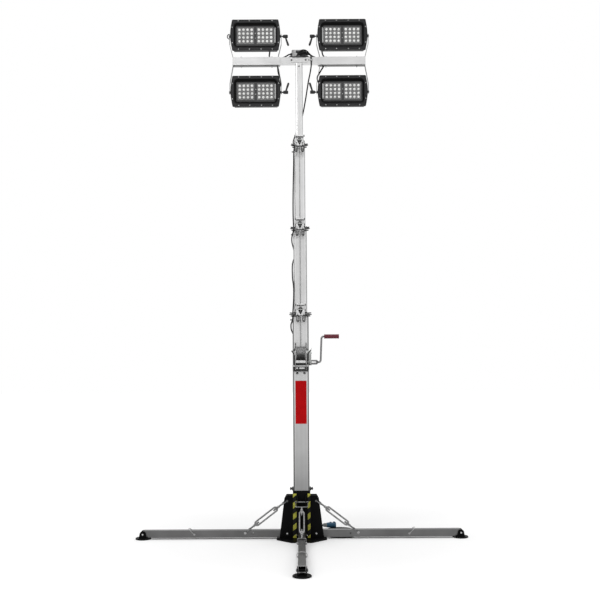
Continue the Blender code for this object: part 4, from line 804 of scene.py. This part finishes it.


# Pulley collars: bolts, rope over the wheel, washers, spacers, painted shade rods along the notch, guide turns,
# hanging links, stop pegs
def makeCollar(index):
    collar = {"depth": 0.047, "boltRise": 0.071, "boltX": 0.0311, "cheekX": 0.0279, "wheel": 0.0205, "rope": 0.0025,
              "head": (0.0074, 0.0058), "guideR": 0.0225, "wire": 0.0042, "upperTurn": 0.0095,
              "linkHalf": 0.0078, "linkWire": 0.0034, "linkTall": 0.0215, "linkDrop": 0.0335,
              "linkX": ((-0.02, 0.025), (-0.022, 0.0215), (-0.0255, 0.023)), "pegDrop": 0.038,
              "lipHigh": 0.004, "lipGap": 0.0006,
              "washer": (0.0085, 0.015, 0.016), "spacer": (0.0151, 0.01), "upperR": 0.0075,
              "edge": (0.0013, 0.016, 0.0021), "hook": (0.0085, 0.007, 0.003), "barrel": (0.0072, 0.0056)}
    half, top, body = tubeHalf[index], tubeTop[index], sectionBody[index]
    tag = str(index + 1)
    low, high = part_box("sheave_" + tag)
    axisY, axisZ = (low[1] + high[1]) / 2, (low[2] + high[2]) / 2
    front = -half - 0.0003 - collar["depth"]
    bm = bmesh.new()
    for height in (axisZ, top + collar["boltRise"]):
        for side in (-1, 1):
            addBolt(bm, (side * collar["boltX"], axisY, height), (side, 0, 0), *collar["head"])
    newPiece("collarBolts" + tag, bm, "boltGrey", body, 0.0004)
    # Rope over the wheel, from the front line to the line between two sections
    arc = [(0.0, y, z) for y, z in circlePoints((axisY, axisZ), collar["wheel"] + collar["rope"], 180, 0, 10)]
    newCable("ropeTurn" + tag, arc, collar["rope"], "rope", body, 5)
    # Nylon washers beside the wheel, and bright spacers on the two cross bolts
    bm = bmesh.new()
    near, far, washerR = collar["washer"]
    for side in (-1, 1):
        addRod(bm, (side * near, axisY, axisZ), (side * far, axisY, axisZ), washerR, 20)
    newPiece("wheelWashers" + tag, bm, "blackPlastic", body, 0.0008)
    bm = bmesh.new()
    near, spacerR = collar["spacer"]
    for side in (-1, 1):
        addRod(bm, (side * near, axisY, axisZ), (side * collar["cheekX"], axisY, axisZ), spacerR, 16)
    addBlock(bm, (-0.0185, front - 0.0012, axisZ + 0.0004), (0.0185, front + 0.0024, axisZ + 0.005))
    newPiece("collarSpacers" + tag, bm, "gearCase", body, 0.0006)
    bm = bmesh.new()
    upperZ = top + collar["boltRise"]
    addRod(bm, (-collar["cheekX"], axisY, upperZ), (collar["cheekX"], axisY, upperZ), collar["upperR"], 16)
    newPiece("upperSpacer" + tag, bm, "brightPlate", body, 0.0006)
    # Dark rods along the notch in the front plate: painted shade at its edges
    bm = bmesh.new()
    inset, reach, edgeR = collar["edge"]
    tip = (0.0, front + inset, top - 0.005)
    for side in (-1, 1):
        addRod(bm, tip, (side * reach, front + inset, axisZ - 0.0005), edgeR, 8)
    newPiece("notchShadeRods" + tag, bm, "linerBlack", body)
    # A second turn above each cable guide, with the short leg that joins it to the lower one
    centreX = half + 0.0195 - collar["guideR"]
    centreY = -half - 0.0075 - collar["guideR"]
    bm = bmesh.new()
    for side, start, end in ((-1, -60, 150), (1, 240, 30)):
        turn = Vector((side * centreX, centreY, top + collar["upperTurn"]))
        addTorus(bm, turn, collar["guideR"], collar["wire"], start=start, end=end, steps=20)
        turn.y -= collar["guideR"]
        addRod(bm, (turn.x, turn.y, top - 0.0045), turn, collar["wire"] * 0.9, 8)
    newPiece("guideTurns" + tag, bm, "blackened", body)
    # Hanging links with a screwed barrel, held by small hooks on the front plate
    bm = bmesh.new()
    linkY, linkZ = front - 0.003, top - collar["linkDrop"]
    hookDrop, hookR, hookWire = collar["hook"]
    barrelHalf, barrelR = collar["barrel"]
    footZ = linkZ - collar["linkTall"] + 0.001
    for x in collar["linkX"][index]:
        addTorus(bm, (x, front, top - hookDrop), hookR, hookWire, "X", steps=18)
        addOval(bm, (x, linkY, linkZ), collar["linkHalf"], collar["linkTall"], collar["linkWire"])
        addRod(bm, (x - barrelHalf, linkY, footZ), (x + barrelHalf, linkY, footZ), barrelR, 10)
    newPiece("guideLinks" + tag, bm, "blackened", body)
    # Stop peg through the section's left side, with a collar on it
    bm = bmesh.new()
    pegEnd = (-half - 0.0165, -half * 0.45, top - collar["pegDrop"])
    addRod(bm, (-half + 0.004, *pegEnd[1:]), pegEnd, 0.0042)
    addRod(bm, (-half - 0.012, *pegEnd[1:]), pegEnd, 0.006)
    newPiece("stopPeg" + tag, bm, "boltGrey", body, 0.0006)
    # Guide that the next section slides in, seen as a thin lip round the top end
    inner = tubeHalf[index + 1] + collar["lipGap"]
    lipLow, lipHigh = top + 0.0002, top + collar["lipHigh"]
    bm = bmesh.new()
    outer = roundedOutline(half - 0.0002, half - 0.0002, 0.004)
    hole = roundedOutline(inner, inner, 0.004)
    joinLoops(bm, [[bm.verts.new((u, v, z)) for u, v in line]
                   for line, z in ((outer, lipLow), (outer, lipHigh), (hole, lipHigh), (hole, lipLow))])
    newPiece("slideLip" + tag, bm, "gearCase", body)


for collarIndex in range(3):
    makeCollar(collarIndex)
stageReport("collars")


# Hand winch: rope wound on the drum, cheek ends, bolts, ratchet, foot, wings and sleeves
def makeWinch():
    winch = {"axisY": -0.125, "axisZ": 1.376, "ropeR": 0.049945, "halfWidth": 0.032, "wire": 0.0027, "turns": 11,
             "crankY": -0.145, "crankZ": 1.315, "sleeve": (0.079, 0.111, 0.0172), "caseX": 0.0769,
             "cheekX": 0.0395, "cheekTop": 1.459, "stripR": 0.0024, "cheekBoltX": 0.0416,
             "coils": 7, "coil": (0.0042, 0.0011), "coilStep": (0.0012, -0.003)}
    axisY, axisZ, wire = winch["axisY"], winch["axisZ"], winch["wire"]
    # Rope in even turns on the drum, with painted shade on its underside and a lighter top
    steps = winch["turns"] * 16
    around = circlePoints((axisY, axisZ), winch["ropeR"], 0, 360 * winch["turns"], steps)
    reach = winch["halfWidth"] - wire
    points = [(reach * (2 * i / steps - 1), y, z) for i, (y, z) in enumerate(around)]
    newCable("woundRope", points, wire, "woundRope", "drum", 2)
    # Rounded strips on the cheeks' upper front ends
    bm = bmesh.new()
    for side in (-1, 1):
        x, z = side * winch["cheekX"], winch["cheekTop"]
        for end in ((x, -0.09, z), (x, -0.0655, 1.43)):
            addRod(bm, (x, -0.065, z), end, winch["stripR"], 8)
        addBlock(bm, (x - 0.0025, -0.092, 1.415), (x + 0.0025, -0.089, 1.461))
    newPiece("cheekEnds", bm, "blackened", "base", 0.0006)
    # Bolts of the drum's shaft and of the back plate
    bm = bmesh.new()
    for side in (-1, 1):
        addBolt(bm, (side * winch["cheekBoltX"], axisY + 0.03, axisZ + 0.038), (side, 0, 0), 0.0062, 0.005)
        addBolt(bm, (side * 0.05, -0.064, 1.406), frontWay, 0.0062, 0.005)
        addBolt(bm, (side * 0.027, -0.0603, 1.236), frontWay, 0.007, 0.0055)
        addBolt(bm, (side * winch["cheekBoltX"], -0.16, 1.3), (side, 0, 0), 0.0055, 0.0045)
    addBolt(bm, (-0.042, axisY, axisZ), (-1, 0, 0), 0.0105, 0.007)
    newPiece("winchBolts", bm, "boltGrey", "base", 0.0005)
    # Gear case cover screws
    bm = bmesh.new()
    for dy, dz in ((0.0, 0.04), (-0.036, 0.006), (0.036, 0.006), (-0.018, -0.075), (0.006, -0.08)):
        addBolt(bm, (winch["caseX"], axisY + dy, axisZ + dz), (1, 0, 0), 0.0036, 0.0022, False)
    newPiece("caseScrews", bm, "boltGrey", "base", 0.0003)
    # Ratchet lever with its spring and knob, at the right cheek's foot
    bm = bmesh.new()
    addPlate(bm, ((0.0425, 1.327), (0.05, 1.333), (0.066, 1.311), (0.069, 1.296), (0.06, 1.296),
                  (0.054, 1.308), (0.043, 1.318)), -0.187, 0.004)
    newPiece("ratchetLever", bm, "darkZinc", "base", 0.0008)
    bm = bmesh.new()
    addRod(bm, (0.047, -0.19, 1.324), (0.047, -0.179, 1.324), 0.006)
    addRod(bm, (0.065, -0.193, 1.298), (0.065, -0.18, 1.298), 0.0065)
    stepX, stepZ = winch["coilStep"]
    for i in range(winch["coils"]):
        addTorus(bm, (0.0475 + stepX * i, -0.1755, 1.316 + stepZ * i), *winch["coil"], steps=12, sides=5)
    newPiece("ratchetSpring", bm, "blackened", "base", 0.0004)
    # The winch's foot: painted shade as dark blocks in the openings behind the folds and beside the drum, painted
    # highlights as bright strips on the fold edges, and the tie bar cover
    bm = bmesh.new()
    for corners in (((-0.037, -0.11, 1.2925), (0.037, -0.107, 1.31)),
                    ((-0.056, -0.102, 1.263), (0.056, -0.099, 1.284)),
                    ((-0.056, -0.1075, 1.248), (0.056, -0.1045, 1.2622)),
                    ((-0.055, -0.0675, 1.294), (-0.0435, -0.0646, 1.376)),
                    ((0.0435, -0.0675, 1.294), (0.055, -0.0646, 1.376))):
        addBlock(bm, *corners)
    newPiece("footShadeBlocks", bm, "blackened", "base", 0.0008)
    bm = bmesh.new()
    for corners in (((-0.032, -0.185, 1.3095), (0.032, -0.1822, 1.3275)),
                    ((-0.056, -0.1205, 1.2842), (0.056, -0.1186, 1.2925)),
                    ((-0.0345, -0.1045, 1.2665), (-0.0205, -0.1021, 1.2785)),
                    ((-0.0105, -0.1045, 1.2665), (0.0285, -0.1021, 1.2785))):
        addBlock(bm, *corners)
    newPiece("footStrips", bm, "brightPlate", "base", 0.0006)
    # Wings that keep the rope on the drum
    bm = bmesh.new()
    addPlate(bm, ((-0.042, 1.354), (-0.047, 1.38), (-0.064, 1.403), (-0.07, 1.397), (-0.054, 1.374),
                  (-0.051, 1.352)), -0.15, 0.006)
    addPlate(bm, ((0.0785, 1.404), (0.074, 1.409), (0.053, 1.384), (0.045, 1.376), (0.045, 1.3),
                  (0.0575, 1.3), (0.0595, 1.378)), -0.181, 0.004)
    newPiece("ropeWings", bm, "blackened", "base", 0.0006)
    # Thin sleeve over the crank's hub, carrying a painted highlight round its middle and painted shade above and
    # below
    bm = bmesh.new()
    near, far, sleeveR = winch["sleeve"]
    addRod(bm, (near, winch["crankY"], winch["crankZ"]), (far, winch["crankY"], winch["crankZ"]), sleeveR, 28)
    newPiece("hubHighlightSleeve", bm, "hub", "crank", 0.0008)
    # Rubber sleeve on the grip, with a collar at each end
    low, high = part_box("crank_grip")
    middle = ((low[1] + high[1]) / 2, (low[2] + high[2]) / 2)
    radius = (high[2] - low[2]) / 2
    bm = bmesh.new()
    for start, end, more in ((low[0] + 0.004, high[0] - 0.001, 0.0016), (low[0] + 0.0005, low[0] + 0.006, 0.0026),
                             (high[0] - 0.006, high[0] - 0.0005, 0.0026)):
        addRod(bm, (start, *middle), (end, *middle), radius + more, 24)
    newPiece("gripSleeve", bm, "grip", "crank", 0.0008)


makeWinch()
stageReport("winch")


def legSpot(angle, r, t, z):
    # From a leg's own distance, side and height to the frame
    a = math.radians(angle)
    return Vector((r * math.cos(a) - t * math.sin(a), r * math.sin(a) + t * math.cos(a), z))


# Base: striped tape, plain red patch, bolts and pins
def makeBase():
    base = {"face": -0.065, "tapeZ": (0.0135, 0.343), "tapeX": ((-0.0645, -0.0385), (0.045, 0.0645)),
            "tapeT": 0.0007, "patchHalf": (0.0415, 0.16), "patchZ": 1.02, "pinR": 0.108, "pinZ": 0.041,
            "braceZ": 0.286, "pinT": 0.0387, "capT": (0.048, 0.0515), "capR": 0.0088, "boltZ": 0.372}
    bm = bmesh.new()
    for left, right in base["tapeX"]:
        addBlock(bm, (left, base["face"] - base["tapeT"], base["tapeZ"][0]),
                 (right, base["face"] + 0.0002, base["tapeZ"][1]))
    newPiece("socketTape", bm, "tape", "base", 0.0003)
    bm = bmesh.new()
    addPlate(bm, roundedOutline(*base["patchHalf"], 0.004, 4, (0, base["patchZ"])), -tubeHalf[0] - 0.0006, 0.0007)
    newPiece("redPatch", bm, "patchRed", "base")
    # Nuts and washers of the two bolts at the socket's top
    bm = bmesh.new()
    for side in (-1, 1):
        addBolt(bm, (side * 0.0652, 0, base["boltZ"]), (side, 0, 0), 0.0125, 0.009)
        addBolt(bm, (side * 0.08, 0, base["boltZ"]), (side, 0, 0), 0.0115, 0.006)
    newPiece("socketBolts", bm, "boltGrey", "base", 0.0006)
    # The four legs' hinge pins and the braces' upper pins, on the fins' outer faces
    heads, caps = bmesh.new(), bmesh.new()
    for angle in (0, 90, 180, 270):
        for side in (-1, 1):
            pinEnd = legSpot(angle, base["pinR"], side * base["pinT"], base["pinZ"])
            addBolt(heads, pinEnd, legSpot(angle, 0, side, 0), 0.0072, 0.003, False)
            near, far = (legSpot(angle, base["pinR"], side * t, base["braceZ"]) for t in base["capT"])
            addRod(caps, near, far, base["capR"], 14)
    newPiece("hingePinHeads", heads, "brightPlate", "base", 0.0004)
    newPiece("bracePinCaps", caps, "boltGrey", "base", 0.0005)


def makeBrace(name, angle):
    # Turnbuckle: threads on its rods, the body's bars and the nuts
    brace = {"topR": 0.108, "topZ": 0.286, "endR": 0.422, "endZ": 0.046, "root": 0.005916, "crest": 0.006728,
             "pitch": 0.0033, "threads": ((0.052, 0.127), (0.272, 0.345)), "nuts": (0.08, 0.312), "nutR": 0.0105,
             "barX": 0.0152, "barR": 0.006, "barTip": 0.003}
    top = legSpot(angle, brace["topR"], 0, brace["topZ"])
    direction = (legSpot(angle, brace["endR"], 0, brace["endZ"]) - top).normalized()

    def spot(u):
        return top + direction * u

    bm = bmesh.new()
    half = direction * brace["pitch"] * 0.5
    for start, end in brace["threads"]:
        for i in range(int((end - start) / brace["pitch"])):
            crest = spot(start + i * brace["pitch"]) + half
            addRod(bm, crest - half, crest, brace["root"], 10, brace["crest"])
            addRod(bm, crest, crest + half, brace["crest"], 10, brace["root"])
    newPiece("threads_" + name, bm, "darkZinc", "brace_" + name, smooth=False)
    # Forged thickening along the body's two bars
    up = Vector((0, 0, 1)).cross(direction).normalized()
    across = up if angle in (90, 270) else direction.cross(up).normalized()
    bm = bmesh.new()
    for side in (-1, 1):
        aside = across * side * brace["barX"]
        for start, end, first, last in ((0.1, 0.112, brace["barTip"], brace["barR"]),
                                        (0.112, 0.286, brace["barR"], brace["barR"]),
                                        (0.286, 0.298, brace["barR"], brace["barTip"])):
            addRod(bm, spot(start) + aside, spot(end) + aside, first, 10, last)
    newPiece("braceBars_" + name, bm, "brace", "brace_" + name)
    bm = bmesh.new()
    for u in brace["nuts"]:
        addRod(bm, spot(u), spot(u + 0.0065), brace["nutR"], 6)
    for side in (-1, 1):
        tip = legSpot(angle, brace["endR"], side * 0.0316, brace["endZ"])
        addBolt(bm, tip, legSpot(angle, 0, side, 0), 0.0075, 0.005)
    newPiece("braceNuts_" + name, bm, "zinc", "brace_" + name, 0.0005)


def makeLegParts(name, angle):
    leg = {"pinR": 0.802, "pinZ": 0.036, "pin": (0.02, 0.0345, 0.0048, 12), "washer": (0.0255, 0.0275, 0.0078, 14),
           "wire": 0.0023, "footR": 1.187, "footZ": 0.04, "treadZ": 0.0052, "tread": (0.056, 0.0029)}
    # Locking pin through the leg with a wire bail sprung over it
    bm = bmesh.new()
    for side in (-1, 1):
        for near, far, radius, sides in (leg["pin"], leg["washer"]):
            addRod(bm, legSpot(angle, leg["pinR"], side * near, leg["pinZ"]),
                   legSpot(angle, leg["pinR"], side * far, leg["pinZ"]), radius, sides)
    newPiece("lockPin_" + name, bm, "zinc", "leg_" + name, 0.0005)
    half = ((0.0, 0.033, 0.0), (0.01, 0.0335, 0.011), (0.024, 0.032, 0.024), (0.036, 0.025, 0.035),
            (0.042, 0.013, 0.04), (0.044, 0.0, 0.041))
    route = [(r, -t, z) for r, t, z in half] + list(reversed(half[:-1]))
    route = [legSpot(angle, leg["pinR"] + r, t, leg["pinZ"] + z) for r, t, z in route]
    newCable("bail_" + name, route, leg["wire"], "zinc", "leg_" + name, 4)
    # The foot pin's bright ends
    bm = bmesh.new()
    for side in (-1, 1):
        addBolt(bm, legSpot(angle, leg["footR"], side * 0.0354, leg["footZ"]), legSpot(angle, 0, side, 0),
                0.0068, 0.0028, False)
    newPiece("footPinEnds_" + name, bm, "brightPlate", "foot_" + name, 0.0004)
    # Rubber tread round the foot's disc
    bm = bmesh.new()
    addTorus(bm, legSpot(angle, leg["footR"], 0, leg["treadZ"]), *leg["tread"], steps=40)
    newPiece("tread_" + name, bm, "blackPlastic", "foot_" + name)


makeBase()
for legName, legAngle in (("right", 0), ("back", 90), ("left", 180), ("front", 270)):
    makeBrace(legName, legAngle)
    makeLegParts(legName, legAngle)
stageReport("base")


# Plug: ribbed gland, body rings and ridges, latch and hinge lumps, pins
def makePlug():
    plug = {"y": 0.37, "z": 0.0303, "glandR": 0.0148, "bodyR": 0.0194, "ridgeR": 0.0198, "ribX": 0.1765,
            "ribPitch": 0.0032, "ribs": 7, "ribWire": 0.0013, "ridges": 10}
    y, z = plug["y"], plug["z"]

    def addRidges(count, startX, startR, endX, endR, radius):
        for (startY, startZ), (endY, endZ) in zip(circlePoints((y, z), startR, 0, 360, count)[:-1],
                                                  circlePoints((y, z), endR, 0, 360, count)):
            addRod(bm, (startX, startY, startZ), (endX, endY, endZ), radius, 6)

    bm = bmesh.new()
    for i in range(plug["ribs"]):
        ribX = plug["ribX"] + plug["ribPitch"] * i
        addTorus(bm, (ribX, y, z), plug["glandR"], plug["ribWire"], "X", steps=24, sides=6)
    addRidges(6, 0.167, 0.01, 0.196, 0.0138, 0.0016)
    for start, end, first, last in ((0.1665, 0.177, 0.0108, 0.0152), (0.177, 0.1915, 0.0152, 0.0152),
                                    (0.1915, 0.2, 0.0152, 0.0188)):
        addRod(bm, (start, y, z), (end, y, z), first, 24, last)
    newPiece("glandRibs", bm, "glandGrey", "base")
    bm = bmesh.new()
    addTorus(bm, (0.212, y, z), plug["bodyR"], 0.002, "X", sides=6)
    addTorus(bm, (0.269, y, z), plug["bodyR"], 0.0024, "X", sides=6)
    addRidges(plug["ridges"], 0.218, plug["ridgeR"], 0.244, plug["ridgeR"], 0.0012)
    addBlock(bm, (0.22, y - 0.007, z + 0.018), (0.236, y + 0.007, z + 0.0245))
    addBlock(bm, (0.248, y - 0.008, z + 0.018), (0.266, y + 0.008, z + 0.0265))
    newPiece("plugParts", bm, "bluePlug", "base", 0.0008)
    bm = bmesh.new()
    for dy, dz in ((0.0085, 0.0), (-0.0042, 0.0074), (-0.0042, -0.0074)):
        addRod(bm, (0.243, y + dy, z + dz), (0.264, y + dy, z + dz), 0.0024, 10)
    newPiece("plugPins", bm, "brightPlate", "base")


makePlug()
stageReport("plug")


# Held ropes and cables between two sections, copied from the model's meshes as they stand
def makeHeldLine(node, lower, upper, still=0.0):
    piece = bpy.data.objects.new("held_" + node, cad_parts[node].data.copy())
    bpy.context.scene.collection.objects.link(piece)
    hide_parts(node)
    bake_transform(piece)


for heldLine in (
    ("rope_2", "base", "section_2"), ("cable_2", "base", "section_2"),
    ("rope_3", "section_2", "section_3"), ("cable_3", "section_2", "section_3"),
    ("cable_4", "section_3", "head", 0.12),  # its top hangs still beside the lower right lamp
):
    makeHeldLine(*heldLine)
stageReport("held lines")
